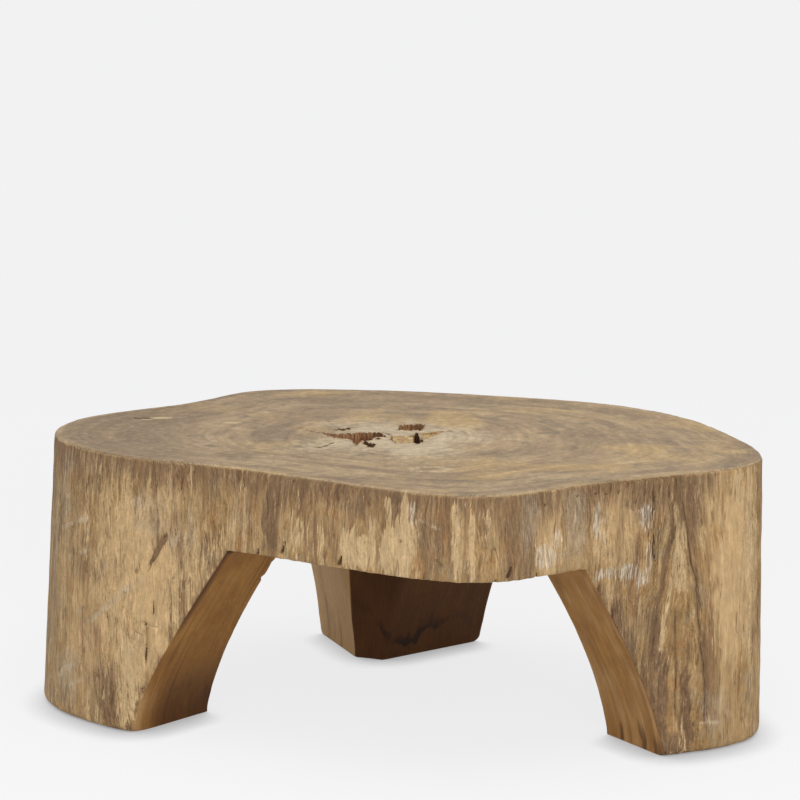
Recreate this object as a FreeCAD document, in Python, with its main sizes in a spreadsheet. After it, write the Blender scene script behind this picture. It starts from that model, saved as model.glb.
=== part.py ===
import FreeCAD, Part
import math
import os
import Sketcher

# Low table worked from a section of tree trunk: a thick slab with the natural rim of the trunk,
# three wall-like legs that carry the rim down to the floor, blind dowels between slab and legs,
# and the broken heartwood that stands in the open heart of the slab.
# Lengths are millimetres, angles degrees, +X to the right, +Y to the back, +Z up. The origin lies
# on the floor under the middle of the table.

TABLE = {
    "table_height": 400,
    "slab_thickness": 118,
    "rim_round": 6,
    "foot_round": 9,
    # how much wider the trunk is at the floor than at the top, and how far it leans to the left
    "butt_flare": 16,
    "butt_lean": 10,
    # trunk centre as seen from the middle of the table
    "trunk_x": 5,
    "trunk_y": -2,
    # curve of the inner faces of the legs
    "hollow_radius": 300,
    "dowel_diameter": 40,
    "dowel_length": 140,
    "dowel_chamfer": 3,
    "dowel_clearance": 0.2,
    "glue_room": 2,
    # how far a cut runs past the wood above and below
    "cut_margin": 20,
    # heart pit in the top, as a ragged five-sided opening
    "pit_depth": 45,
    "pit_tip_x": -118,
    "pit_tip_y": 34,
    "pit_bend_x": -60,
    "pit_front_y": -44,
    "pit_right_x": 28,
    "pit_back_y": 34,
    "pit_shoulder_x": -74,
    # loose block of heartwood, held between the front and back walls of the pit
    "slot_width": 10,
    "block_width": 34,
    "block_play": 0.4,
    "block_drop": 2,
    # three upright splinters left of the block
    "splinter_width": 15,
    "splinter_thickness": 9,
    "splinter_height": 44,
    "splinter_step": 0.5,
    "splinter_pitch": 20,
    "splinter_stagger": 11,
    "splinter_taper_angle": 4,
}

# Distance of the rim's control points from the trunk centre, one every 18 degrees from +X.
RIM = {
    "rim_000": 484, "rim_018": 455, "rim_036": 402, "rim_054": 345,
    "rim_072": 324, "rim_090": 334, "rim_108": 364, "rim_126": 428,
    "rim_144": 386, "rim_162": 514, "rim_180": 525, "rim_198": 413,
    "rim_216": 296, "rim_234": 279, "rim_252": 280, "rim_270": 322,
    "rim_288": 383, "rim_306": 364, "rim_324": 402, "rim_342": 562,
}
RIM_STEP = 360 / len(RIM)
RIM_LENGTHS = 4

# Each leg stands around a core point. "side" is the way out from the trunk centre that the leg
# belongs to, "turn_angle" how far the core is turned from it, "inset" how far it lies inside the rim
# and "skew_angle" how far the inner face is turned from the centre. A flank is a carved side:
# "facing_angle" is its direction from the inner face's, "spread" its distance from the core at the
# floor, "knee" where it bends from upright to sloping and "reach" how far it has run out under the
# slab.
LEGS = {
    "left_leg": {
        "side": 180,
        "sizes": {"inset": 92.5, "turn_angle": 1.5, "skew_angle": 31, "inner": 71, "dowel_spacing": 150},
        "flanks": {
            "front": {"facing_angle": -77.5, "spread": 100, "knee_out": 3, "knee_height": 60, "reach": 136},
            "back": {"facing_angle": 33, "spread": 114, "knee_out": 5, "knee_height": 80, "reach": 90},
        },
    },
    "right_leg": {
        "side": 0,
        "sizes": {"inset": 100.7, "turn_angle": -14.5, "skew_angle": -20, "inner": 62, "dowel_spacing": 140},
        "flanks": {
            "front": {"facing_angle": 70.5, "spread": 111, "knee_out": 12, "knee_height": 95, "reach": 121},
            "back": {"facing_angle": -45, "spread": 107, "knee_out": 5, "knee_height": 80, "reach": 90},
        },
    },
    "rear_leg": {
        "side": 90,
        "sizes": {"inset": 56.7, "turn_angle": 4.5, "skew_angle": -25.5, "inner": 67, "dowel_spacing": 110},
        "flanks": {
            "left": {"facing_angle": -45, "spread": 67, "knee_out": 4, "knee_height": 120, "reach": 62},
            "right": {"facing_angle": 55, "spread": 54, "knee_out": 10, "knee_height": 110, "reach": 80},
        },
    },
}

SPLINTERS = 3
# how near to a level an edge counts as lying in it
LEVEL = 0.01
# drawn size of a curve's control points in a sketch
HANDLE = 5

doc = FreeCAD.newDocument("carved_table")
sheet = doc.addObject("Spreadsheet::Sheet", "Sizes")
rows = 0


def cell(alias, content):
    """Adds one named cell to the sheet."""
    global rows
    rows += 1
    sheet.set(f"A{rows}", alias)
    sheet.set(f"B{rows}", str(content))
    sheet.setAlias(f"B{rows}", alias)


def size(alias):
    """Present value of a named cell."""
    return float(sheet.get(alias))


def rim_wire(level):
    """Outline of the trunk at one level: one closed smooth curve, kept in four lengths."""
    grow = size(f"{level}_grow")
    shift = size(f"{level}_shift")
    points = []
    for index, alias in enumerate(RIM):
        angle = math.radians(index * RIM_STEP)
        radius = size(alias) + grow
        across = radius * math.cos(angle) + shift
        points.append(FreeCAD.Vector(across, radius * math.sin(angle), size(f"{level}_z")))
    curve = Part.BSplineCurve(points, None, None, True, 3, None, False)
    length = (curve.LastParameter - curve.FirstParameter) / RIM_LENGTHS
    starts = [curve.FirstParameter + length * number for number in range(RIM_LENGTHS)]
    return Part.Wire([curve.toShape(start, start + length) for start in starts])


def rim_reach(azimuth):
    """Distance from the trunk centre to the rim of the top, in one direction."""
    angle = math.radians(azimuth)
    centre = FreeCAD.Vector(0, 0, size("top_z"))
    out = FreeCAD.Vector(math.cos(angle), math.sin(angle), 0)
    ray = Part.makeLine(centre, centre + out * size("cut_room"))
    nearest = rim_wire("top").distToShape(ray)[1][0][0]
    return nearest.distanceToPoint(centre)


def fill_sheet():
    """Driving dimensions first, then the values worked out from them."""
    for alias, value in TABLE.items():
        cell(alias, value)
    for alias, value in RIM.items():
        cell(alias, value)
    for leg, layout in LEGS.items():
        for alias, value in layout["sizes"].items():
            cell(f"{leg}_{alias}", value)
        for flank, values in layout["flanks"].items():
            for alias, value in values.items():
                cell(f"{leg}_{flank}_{alias}", value)

    cell("underside_z", "=table_height - slab_thickness")
    cell("top_z", "=table_height")
    cell("floor_z", "=table_height - top_z")
    for level in ("floor", "underside", "top"):
        cell(f"{level}_grow", f"=butt_flare * (1 - {level}_z / table_height)")
        cell(f"{level}_shift", f"=-butt_lean * (1 - {level}_z / table_height)")
    cell("cut_room", f"=2 * (max({'; '.join(RIM)}) + butt_flare)")
    cell("cut_top", "=underside_z + cut_margin")
    cell("cut_foot", "=-cut_margin")
    cell("socket_radius", "=dowel_diameter / 2 + dowel_clearance")
    cell("socket_depth", "=dowel_length / 2 + glue_room")
    cell("dowel_foot_z", "=underside_z - dowel_length / 2")
    cell("pit_floor_z", "=table_height - pit_depth")
    cell("block_right", "=pit_right_x - slot_width")
    cell("block_left", "=block_right - block_width")
    cell("block_front", "=pit_front_y + block_play")
    cell("block_back", "=pit_back_y - block_play")
    cell("block_height", "=pit_depth - block_drop")

    doc.recompute()
    for leg, layout in LEGS.items():
        azimuth = f"({layout['side']} + {leg}_turn_angle)"
        rim = rim_reach(layout["side"] + size(f"{leg}_turn_angle"))
        cell(f"{leg}_radius", f"={rim} - {leg}_inset")
        cell(f"{leg}_inward", f"={azimuth} + 180 + {leg}_skew_angle")
        cell(f"{leg}_core_x", f"={leg}_radius * cos({azimuth})")
        cell(f"{leg}_core_y", f"={leg}_radius * sin({azimuth})")
        hollow = f"({leg}_inner + hollow_radius)"
        cell(f"{leg}_hollow_x", f"={leg}_core_x + {hollow} * cos({leg}_inward)")
        cell(f"{leg}_hollow_y", f"={leg}_core_y + {hollow} * sin({leg}_inward)")
        for number, way in ((1, "-"), (2, "+")):
            half = f"{way} {leg}_dowel_spacing / 2"
            cell(f"{leg}_dowel_{number}_x", f"={leg}_core_x {half} * sin({leg}_inward)")
            cell(f"{leg}_dowel_{number}_y", f"={leg}_core_y - ({half} * cos({leg}_inward))")
        for flank in layout["flanks"]:
            name = f"{leg}_{flank}"
            cell(f"{name}_turn", f"={leg}_inward + {name}_facing_angle")
            cell(f"{name}_x", f"={leg}_core_x + {name}_spread * cos({name}_turn)")
            cell(f"{name}_y", f"={leg}_core_y + {name}_spread * sin({name}_turn)")

    for number in range(1, SPLINTERS + 1):
        side = 1 if number % 2 else -1
        cell(f"splinter_{number}_right", f"=block_left - splinter_pitch * {number} + splinter_width / 2")
        cell(f"splinter_{number}_left", f"=splinter_{number}_right - splinter_width")
        cell(f"splinter_{number}_back", f"={side} * splinter_stagger + splinter_thickness / 2")
        cell(f"splinter_{number}_front", f"=splinter_{number}_back - splinter_thickness")
        cell(f"splinter_{number}_height", f"=splinter_height - splinter_step * {number - 1}")
    doc.recompute()


def new_body(label):
    """A body whose own frame is the trunk's, set in the middle of the table."""
    body = doc.addObject("PartDesign::Body", label)
    body.Label = label
    body.setExpression("Placement.Base.x", "Sizes.trunk_x")
    body.setExpression("Placement.Base.y", "Sizes.trunk_y")
    return body


def flat_sketch(body, name, level):
    """A level sketch in the body, at the height of a named cell."""
    sketch = body.newObject("Sketcher::SketchObject", name)
    plane = next(o for o in body.Origin.OriginFeatures if o.Role == "XY_Plane")
    sketch.AttachmentSupport = [(plane, "")]
    sketch.MapMode = "FlatFace"
    sketch.setExpression("AttachmentOffset.Base.z", f"Sizes.{level}")
    return sketch


def bound(sketch, kind, where, value, expression):
    """A constraint whose value follows an expression of the sheet."""
    index = sketch.addConstraint(Sketcher.Constraint(kind, *where, value))
    sketch.setExpression(f"Constraints[{index}]", expression)


def polygon(sketch, corners):
    """Closed outline through corners that are pairs of cell names."""
    points = [FreeCAD.Vector(size(x), size(y), 0) for x, y in corners]
    count = len(points)
    sides = [
        sketch.addGeometry(Part.LineSegment(points[index], points[(index + 1) % count]), False)
        for index in range(count)
    ]
    for index, side in enumerate(sides):
        following = sides[(index + 1) % count]
        sketch.addConstraint(Sketcher.Constraint("Coincident", side, 2, following, 1))
        across, along = corners[index]
        bound(sketch, "DistanceX", (side, 1), points[index].x, f"Sizes.{across}")
        bound(sketch, "DistanceY", (side, 1), points[index].y, f"Sizes.{along}")


def circles(sketch, centres, radius):
    """Circles of one radius around pairs of cell names."""
    up = FreeCAD.Vector(0, 0, 1)
    for across, along in centres:
        centre = FreeCAD.Vector(size(across), size(along), 0)
        circle = sketch.addGeometry(Part.Circle(centre, up, size(radius)), False)
        bound(sketch, "Radius", (circle,), size(radius), f"Sizes.{radius}")
        bound(sketch, "DistanceX", (circle, 3), centre.x, f"Sizes.{across}")
        bound(sketch, "DistanceY", (circle, 3), centre.y, f"Sizes.{along}")


def trunk_body(label, lower, upper, rounded, radius):
    """A body that starts as the trunk between two levels, with the rim of one level rounded."""
    trunk = doc.addObject("Part::Feature", f"{label}_trunk")
    trunk.Shape = Part.makeLoft([rim_wire(lower), rim_wire(upper)], True, True)
    body = new_body(label)
    body.BaseFeature = trunk
    doc.recompute()
    stock = body.Tip
    height = size(f"{rounded}_z")
    names = []
    for number, edge in enumerate(stock.Shape.Edges, 1):
        box = edge.BoundBox
        if abs(box.ZMin - height) < LEVEL and abs(box.ZMax - height) < LEVEL:
            names.append(f"Edge{number}")
    rounding = body.newObject("PartDesign::Fillet", f"{label}_round")
    rounding.Base = (stock, names)
    rounding.setExpression("Radius", f"Sizes.{radius}")
    doc.recompute()
    return body


def pocket(body, sketch, depth=None, up=False):
    """Cuts a sketch out of the body, right through or to the depth of a named cell."""
    before = body.Shape.Volume
    cut = body.newObject("PartDesign::Pocket", f"{sketch.Name}_cut")
    cut.Profile = sketch
    cut.Reversed = up
    if depth:
        cut.Type = "Length"
        cut.setExpression("Length", f"Sizes.{depth}")
    else:
        cut.Type = "ThroughAll"
    doc.recompute()
    assert body.Shape.Volume < before, f"{sketch.Name} cuts nothing"
    return cut


def carve_flank(body, name):
    """Carved side of a leg: upright at the floor, bending out at the knee to run under the slab."""
    sketch = body.newObject("Sketcher::SketchObject", name)
    plane = next(o for o in body.Origin.OriginFeatures if o.Role == "XZ_Plane")
    sketch.AttachmentSupport = [(plane, "")]
    sketch.MapMode = "FlatFace"
    turn = FreeCAD.Rotation(FreeCAD.Vector(0, 1, 0), size(f"{name}_turn"))
    sketch.AttachmentOffset = FreeCAD.Placement(FreeCAD.Vector(), turn)
    sketch.setExpression("AttachmentOffset.Base.x", f"Sizes.{name}_x")
    sketch.setExpression("AttachmentOffset.Base.z", f"-Sizes.{name}_y")
    sketch.setExpression("AttachmentOffset.Rotation.Angle", f"Sizes.{name}_turn")

    controls = [
        ("floor_z", "floor_z"),
        (f"{name}_knee_out", f"{name}_knee_height"),
        (f"{name}_reach", "underside_z"),
    ]
    points = [FreeCAD.Vector(size(across), size(height), 0) for across, height in controls]
    up = FreeCAD.Vector(0, 0, 1)
    handles = [sketch.addGeometry(Part.Circle(point, up, HANDLE), True) for point in points]
    sketch.addConstraint(Sketcher.Constraint("Weight", handles[0], 1.0))
    for handle in handles[1:]:
        sketch.addConstraint(Sketcher.Constraint("Equal", handles[0], handle))
    curve = sketch.addGeometry(Part.BSplineCurve(points, None, None, False, 2, None, False), False)
    for index, handle in enumerate(handles):
        kind = "InternalAlignment:Sketcher::BSplineControlPoint"
        sketch.addConstraint(Sketcher.Constraint(kind, handle, 3, curve, index))
    for handle, point, (across, height) in zip(handles, points, controls):
        bound(sketch, "DistanceX", (handle, 3), point.x, f"Sizes.{across}")
        bound(sketch, "DistanceY", (handle, 3), point.y, f"Sizes.{height}")

    room = size("cut_room")
    above = size("cut_top")
    below = size("cut_foot")
    corners = [
        points[-1],
        FreeCAD.Vector(points[-1].x, above, 0),
        FreeCAD.Vector(room, above, 0),
        FreeCAD.Vector(room, below, 0),
        FreeCAD.Vector(points[0].x, below, 0),
        points[0],
    ]
    riser, top, far, base, post = [
        sketch.addGeometry(Part.LineSegment(corners[index], corners[index + 1]), False)
        for index in range(len(corners) - 1)
    ]
    for first, second in ((curve, riser), (riser, top), (top, far), (far, base), (base, post), (post, curve)):
        sketch.addConstraint(Sketcher.Constraint("Coincident", first, 2, second, 1))
    for upright in (riser, far, post):
        sketch.addConstraint(Sketcher.Constraint("Vertical", upright))
    for level in (top, base):
        sketch.addConstraint(Sketcher.Constraint("Horizontal", level))
    bound(sketch, "DistanceY", (riser, 2), above, "Sizes.cut_top")
    bound(sketch, "DistanceX", (top, 2), room, "Sizes.cut_room")
    bound(sketch, "DistanceY", (base, 1), below, "Sizes.cut_foot")
    cut = pocket(body, sketch)
    cut.SideType = "Symmetric"
    doc.recompute()


def socket_centres(leg):
    """Cell names of the dowel centres of a leg."""
    return [(f"{leg}_dowel_{number}_x", f"{leg}_dowel_{number}_y") for number in (1, 2)]


def make_slab():
    """The slab: rounded upper rim, heart pit in the top, dowel sockets in the underside."""
    body = trunk_body("top_slab", "underside", "top", "top", "rim_round")
    pit = flat_sketch(body, "heart_pit", "top_z")
    polygon(pit, [
        ("pit_tip_x", "pit_tip_y"),
        ("pit_bend_x", "pit_front_y"),
        ("pit_right_x", "pit_front_y"),
        ("pit_right_x", "pit_back_y"),
        ("pit_shoulder_x", "pit_back_y"),
    ])
    pocket(body, pit, "pit_depth")
    sockets = flat_sketch(body, "slab_sockets", "underside_z")
    circles(sockets, [centre for leg in LEGS for centre in socket_centres(leg)], "socket_radius")
    pocket(body, sockets, "socket_depth", up=True)
    return body


def make_leg(leg):
    """One leg: a piece of the trunk wall between two carved flanks and a hollowed inner face."""
    body = trunk_body(leg, "floor", "underside", "floor", "foot_round")
    for flank in LEGS[leg]["flanks"]:
        carve_flank(body, f"{leg}_{flank}")
    hollow = flat_sketch(body, f"{leg}_hollow", "underside_z")
    circles(hollow, [(f"{leg}_hollow_x", f"{leg}_hollow_y")], "hollow_radius")
    pocket(body, hollow)
    sockets = flat_sketch(body, f"{leg}_sockets", "underside_z")
    circles(sockets, socket_centres(leg), "socket_radius")
    pocket(body, sockets, "socket_depth")
    return body


def make_dowel(leg, number):
    """One turned dowel with chamfered ends, half in the leg and half in the slab."""
    name = f"{leg}_dowel_{number}"
    dowel = doc.addObject("Part::Cylinder", f"{name}_stock")
    dowel.setExpression("Radius", "Sizes.dowel_diameter / 2")
    dowel.setExpression("Height", "Sizes.dowel_length")
    dowel.setExpression("Placement.Base.x", f"Sizes.trunk_x + Sizes.{name}_x")
    dowel.setExpression("Placement.Base.y", f"Sizes.trunk_y + Sizes.{name}_y")
    dowel.setExpression("Placement.Base.z", "Sizes.dowel_foot_z")
    doc.recompute()
    chamfer = doc.addObject("Part::Chamfer", name)
    chamfer.Label = name
    chamfer.Base = dowel
    cut = size("dowel_chamfer")
    chamfer.Edges = [
        (place, cut, cut)
        for place, edge in enumerate(dowel.Shape.Edges, 1)
        if isinstance(edge.Curve, Part.Circle)
    ]
    return chamfer


def make_block():
    """Loose block of pale heartwood, standing on the floor of the pit."""
    body = new_body("heart_block")
    sketch = flat_sketch(body, "heart_block_outline", "pit_floor_z")
    polygon(sketch, [
        ("block_left", "block_front"),
        ("block_right", "block_front"),
        ("block_right", "block_back"),
        ("block_left", "block_back"),
    ])
    pad = body.newObject("PartDesign::Pad", "heart_block_height")
    pad.Profile = sketch
    pad.setExpression("Length", "Sizes.block_height")
    return body


def make_splinter(number):
    """One upright splinter of red heartwood, tapering from the floor of the pit."""
    name = f"heart_splinter_{number}"
    body = new_body(name)
    sketch = flat_sketch(body, f"{name}_outline", "pit_floor_z")
    left = f"splinter_{number}_left"
    right = f"splinter_{number}_right"
    front = f"splinter_{number}_front"
    back = f"splinter_{number}_back"
    polygon(sketch, [(left, front), (right, front), (right, back), (left, back)])
    pad = body.newObject("PartDesign::Pad", f"{name}_rise")
    pad.Profile = sketch
    pad.setExpression("Length", f"Sizes.splinter_{number}_height")
    pad.setExpression("TaperAngle", "-Sizes.splinter_taper_angle")
    return body


fill_sheet()
pieces = [make_slab()]
pieces += [make_leg(leg) for leg in LEGS]
pieces += [make_dowel(leg, number) for leg in LEGS for number in (1, 2)]
pieces += [make_block()]
pieces += [make_splinter(number) for number in range(1, SPLINTERS + 1)]
doc.recompute()

for item in doc.Objects:
    assert "Invalid" not in item.State and "Error" not in item.State, f"{item.Label}: {item.State}"
os.makedirs("parts", exist_ok=True)
for piece in pieces:
    shape = piece.Shape
    assert not shape.isNull() and shape.isValid() and len(shape.Solids) == 1, piece.Label
    shape.exportStep(f"parts/{piece.Label}.step")
    box = shape.BoundBox
    print(f"{piece.Label}: {shape.Volume / 1e6:.3f} dm3, x {box.XMin:.1f} to {box.XMax:.1f},"
          f" y {box.YMin:.1f} to {box.YMax:.1f}, z {box.ZMin:.1f} to {box.ZMax:.1f}")
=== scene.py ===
# %% [markdown]
# # A low table carved from one length of trunk
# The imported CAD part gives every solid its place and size. This lesson dresses those solids: the
# debarked side with its torn fibres, the sawn top with its rings, the carved flanks of the legs and
# the rotten heart. Nothing here is moved; each piece is rebuilt as a finer mesh where its solid is.

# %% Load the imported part
import math
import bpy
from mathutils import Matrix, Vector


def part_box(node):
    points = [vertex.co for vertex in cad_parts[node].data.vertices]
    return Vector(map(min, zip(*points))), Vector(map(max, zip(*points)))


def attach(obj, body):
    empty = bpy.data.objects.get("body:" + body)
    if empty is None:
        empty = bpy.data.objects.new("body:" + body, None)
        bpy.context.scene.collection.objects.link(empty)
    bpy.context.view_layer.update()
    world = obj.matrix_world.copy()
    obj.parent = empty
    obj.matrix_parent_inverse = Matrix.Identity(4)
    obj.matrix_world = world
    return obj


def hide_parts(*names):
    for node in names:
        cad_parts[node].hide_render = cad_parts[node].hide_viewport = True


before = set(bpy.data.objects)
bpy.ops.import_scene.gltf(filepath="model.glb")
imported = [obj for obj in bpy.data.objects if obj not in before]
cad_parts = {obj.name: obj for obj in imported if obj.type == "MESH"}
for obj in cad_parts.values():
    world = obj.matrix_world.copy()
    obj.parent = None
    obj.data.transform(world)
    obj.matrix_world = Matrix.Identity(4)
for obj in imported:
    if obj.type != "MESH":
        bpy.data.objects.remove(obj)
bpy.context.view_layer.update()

from types import SimpleNamespace

import bmesh
import bpy
import numpy as np
from mathutils import Vector
from mathutils.bvhtree import BVHTree
from mathutils.geometry import delaunay_2d_cdt

MM = 0.001

# %% [markdown]
# ## Camera, floor and light
# A low table is usually shot with a long lens from a few metres away and a little above, so that its
# sides stay upright. The lens and the distance come from matching the rim and the three feet. The
# light is a plain pale room with one wide soft lamp overhead and one in front, close to even, so the
# colours render about as they are written.

# %% Camera
LENS = 121.5
SENSOR = 36
EYE = (0.0026, -3.7888, 1.26)
LOOK_DOWN = 12
camera = bpy.data.objects.new("camera", bpy.data.cameras.new("camera"))
bpy.context.scene.collection.objects.link(camera)
camera.data.lens = LENS
camera.data.sensor_width = SENSOR
camera.location = EYE
camera.rotation_euler = (math.radians(90 - LOOK_DOWN), 0, 0)
bpy.context.scene.camera = camera
bpy.context.scene.view_settings.view_transform = "Standard"
print("camera:", LENS, "mm lens,", -EYE[1], "m in front, looking down", LOOK_DOWN, "degrees")


# %% Helpers for colours and nodes
def linear(code):
    """An sRGB hex colour as the linear colour that a shader wants."""
    parts = [int(code[i:i + 2], 16) / 255 for i in (1, 3, 5)]
    return [v / 12.92 if v <= 0.04045 else ((v + 0.055) / 1.055) ** 2.4 for v in parts] + [1]


def add(tree, kind, inputs=None, **settings):
    """One node with its settings; an input takes a value or another node's output."""
    node = tree.nodes.new(kind)
    for name, value in settings.items():
        setattr(node, name, value)
    for name, value in (inputs or {}).items():
        if isinstance(value, bpy.types.NodeSocket):
            tree.links.new(value, node.inputs[name])
        else:
            node.inputs[name].default_value = value
    return node


def seen(tree):
    """1 for a ray that carries a picture, by sight, mirror or glass; 0 for one that only carries light."""
    rays = add(tree, "ShaderNodeLightPath").outputs
    straight = add(tree, "ShaderNodeMath", {0: rays["Is Camera Ray"], 1: rays["Is Glossy Ray"]},
                   operation="MAXIMUM").outputs[0]
    return add(tree, "ShaderNodeMath", {0: straight, 1: rays["Is Transmission Ray"]},
               operation="MAXIMUM").outputs[0]


# %% Room light and lamps
# The room glows a warm white on the table; what is seen behind the table is a pale grey wall.
ROOM_GLOW = 0.62
WALL_GREY = linear("#F2F2F3")
world = bpy.data.worlds.new("pale_room")
bpy.context.scene.world = world
world.use_nodes = True
room = world.node_tree
room.nodes.clear()
light = add(room, "ShaderNodeBackground", {"Color": linear("#FFFDFA"), "Strength": ROOM_GLOW})
backdrop = add(room, "ShaderNodeBackground", {"Color": WALL_GREY, "Strength": 1.0})
mix = add(room, "ShaderNodeMixShader", {0: seen(room), 1: light.outputs[0], 2: backdrop.outputs[0]})
add(room, "ShaderNodeOutputWorld", {"Surface": mix.outputs[0]})

# name, place, point it looks at, width, all in metres, and power in watts
LAMPS = (
    ("lamp_overhead", (0.2, -0.5, 3.2), (0, 0, 0.3), 2.6, 42),
    ("lamp_front", (0.3, -4.0, 2.0), (0, 0, 0.2), 2.4, 44),
)
for name, place, aim, width, power in LAMPS:
    lamp = bpy.data.objects.new(name, bpy.data.lights.new(name, "AREA"))
    lamp.data.size = width
    lamp.data.energy = power
    lamp.data.color = linear("#FFFAF2")[:3]
    lamp.location = place
    lamp.rotation_euler = (Vector(aim) - Vector(place)).to_track_quat("-Z", "Y").to_euler()
    bpy.context.scene.collection.objects.link(lamp)
print("a pale room and", len(LAMPS), "soft lamps")

# %% Floor
# White paper, lit so brightly that it nearly burns out. It is seen as a glow, a little brighter to
# the front, with a share of true shading near the table, so a cast shadow is only a little darker
# than the rest. Close to a foot little light gets in: there the glow dims to a thin contact shadow,
# measured upwards and to the rear, which lays it in front of the foot.
FLOOR_SIZE, FLOOR_DROP = 40, 0.4 * MM
REAR, FRONT = 2.5, -0.7
NEAR_TABLE, FAR_FROM_TABLE, GLOW_NEAR_TABLE = 0.7, 2.2, 0.84
CONTACT_REACH, CONTACT_GLOW = 60 * MM, 0.3
paper = bpy.data.materials.new("white_paper_sweep")
paper.use_nodes = True
tree = paper.node_tree
tree.nodes.clear()
spot = add(tree, "ShaderNodeNewGeometry").outputs["Position"]
depth = add(tree, "ShaderNodeSeparateXYZ", {0: spot}).outputs["Y"]
forward = add(tree, "ShaderNodeMapRange", {"Value": depth, "From Min": REAR, "From Max": FRONT},
              interpolation_type="SMOOTHSTEP").outputs[0]
white = add(tree, "ShaderNodeMix", {0: forward, 6: WALL_GREY, 7: linear("#FAFAFC")}, data_type="RGBA")
away = add(tree, "ShaderNodeVectorMath", {0: spot}, operation="LENGTH").outputs["Value"]
burnt = add(tree, "ShaderNodeMapRange", {
    "Value": away, "From Min": NEAR_TABLE, "From Max": FAR_FROM_TABLE, "To Min": GLOW_NEAR_TABLE,
}, interpolation_type="SMOOTHSTEP").outputs[0]
share = add(tree, "ShaderNodeMath", {0: seen(tree), 1: burnt}, operation="MULTIPLY").outputs[0]
up_and_back = add(tree, "ShaderNodeCombineXYZ", {1: 0.7, 2: 0.7}).outputs[0]
shut_in = add(tree, "ShaderNodeAmbientOcclusion", {"Distance": CONTACT_REACH, "Normal": up_and_back},
              samples=8)
contact = add(tree, "ShaderNodeMapRange", {
    "Value": shut_in.outputs["AO"], "From Min": 0.1, "From Max": 0.85, "To Min": CONTACT_GLOW,
}).outputs[0]
matt = add(tree, "ShaderNodeBsdfDiffuse", {"Color": linear("#E8E8E8")}).outputs[0]
glow = add(tree, "ShaderNodeEmission", {"Color": white.outputs[2], "Strength": contact}).outputs[0]
mix = add(tree, "ShaderNodeMixShader", {0: share, 1: matt, 2: glow})
add(tree, "ShaderNodeOutputMaterial", {"Surface": mix.outputs[0]})
bpy.ops.mesh.primitive_grid_add(x_subdivisions=8, y_subdivisions=8, size=FLOOR_SIZE,
                                location=(0, 0, -FLOOR_DROP))
floor = bpy.context.object
floor.name = "paper_sweep"
floor.data.materials.append(paper)
print("floor:", FLOOR_SIZE, "m of white paper")

# %% [markdown]
# ## Random wood
# Wood is irregular along the trunk in long streaks and across it in short steps. A seeded lattice
# noise, sampled with heights squeezed, gives both the relief and the patches. Being a function of
# place, it runs on from the slab into the legs without a seam, as the fibres of the trunk do.


# %% Noise
def lattice(x, y, z, seed):
    """A fixed random number from 0 to 1 for every whole-numbered point; the large primes mix its bits."""
    n = (x * 1619 + y * 31337 + z * 6971 + seed * 1013) & 0x7FFFFFFF
    n = (n >> 13) ^ n
    n = (n * ((n * n * 15731 + 789221) & 0x7FFFFFFF) + 1376312589) & 0x7FFFFFFF
    return n / 0x7FFFFFFF


def noise(x, y=0.0, z=0.0, seed=0):
    """Smooth noise from -1 to 1, one lattice step per unit."""
    axes = np.broadcast_arrays(np.asarray(x, float), np.asarray(y, float), np.asarray(z, float))
    base = [np.floor(v).astype(np.int64) for v in axes]
    part = [v - np.floor(v) for v in axes]
    ease = [t * t * (3 - 2 * t) for t in part]
    total = np.zeros(axes[0].shape)
    for corner in range(8):
        step = [corner >> axis & 1 for axis in range(3)]
        weight = np.ones(axes[0].shape)
        for axis in range(3):
            weight = weight * (ease[axis] if step[axis] else 1 - ease[axis])
        total += weight * lattice(*[base[axis] + step[axis] for axis in range(3)], seed)
    return 2 * total - 1


def streaks(x, y, z, width, length, seed):
    """Noise that is narrow across the trunk and long up it; sizes in mm."""
    return noise(x / (width * MM), y / (width * MM), z / (length * MM), seed)


def ramp(low, high, value):
    """0 below low, 1 above high, and eased between; low may be the larger."""
    t = np.clip((value - low) / (high - low), 0, 1)
    return t * t * (3 - 2 * t)


print("noise at one point:", round(float(noise(0.3, 0.7, 0.2, 5)), 3))

# %% [markdown]
# ## Reading the solids
# A ray from outside towards the middle of a solid finds its skin. A ring of such rays is a section.
# The way round the rim, measured on a section of the slab, is the address of every mark on the side.

# %% Sections of the solids
# the middle of the trunk, the levels of the joint and of the top, and where a ray starts, in metres
TRUNK = np.array([5.0, -2.0]) * MM
SLAB_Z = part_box("top_slab")[0].z
TOP_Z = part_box("top_slab")[1].z
NAMES = ("left_leg", "right_leg", "rear_leg")
OUTSIDE = 2.0


def skin(node):
    """The surface of a CAD node, ready for rays."""
    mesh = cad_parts[node].data
    return BVHTree.FromPolygons([v.co for v in mesh.vertices], [p.vertices for p in mesh.polygons])


def section(tree, core, height, turns):
    """Where rays towards the core first meet the skin, one for each angle."""
    points = []
    for turn in turns:
        out = Vector((math.cos(turn), math.sin(turn), 0))
        start = Vector((core[0], core[1], height)) + OUTSIDE * out
        points.append(tree.ray_cast(start, -out)[0][:2])
    return np.array(points)


# angles of the rays, the way travelled round the rim up to each, and the level direction out of it
slab_skin = skin("top_slab")
turns = np.linspace(-1.5 * math.pi, 0.5 * math.pi, 1801)
middle = section(slab_skin, TRUNK, (SLAB_Z + TOP_Z) / 2, turns)
steps = np.linalg.norm(np.diff(middle, axis=0), axis=1)
travel = np.concatenate([[0], np.cumsum(steps)])
travel -= np.interp(-0.5 * math.pi, turns, travel)
tangent = np.gradient(middle, axis=0)
tangent /= np.linalg.norm(tangent, axis=1)[:, None]
outward = np.stack([tangent[:, 1], -tangent[:, 0]], axis=1)


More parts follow.
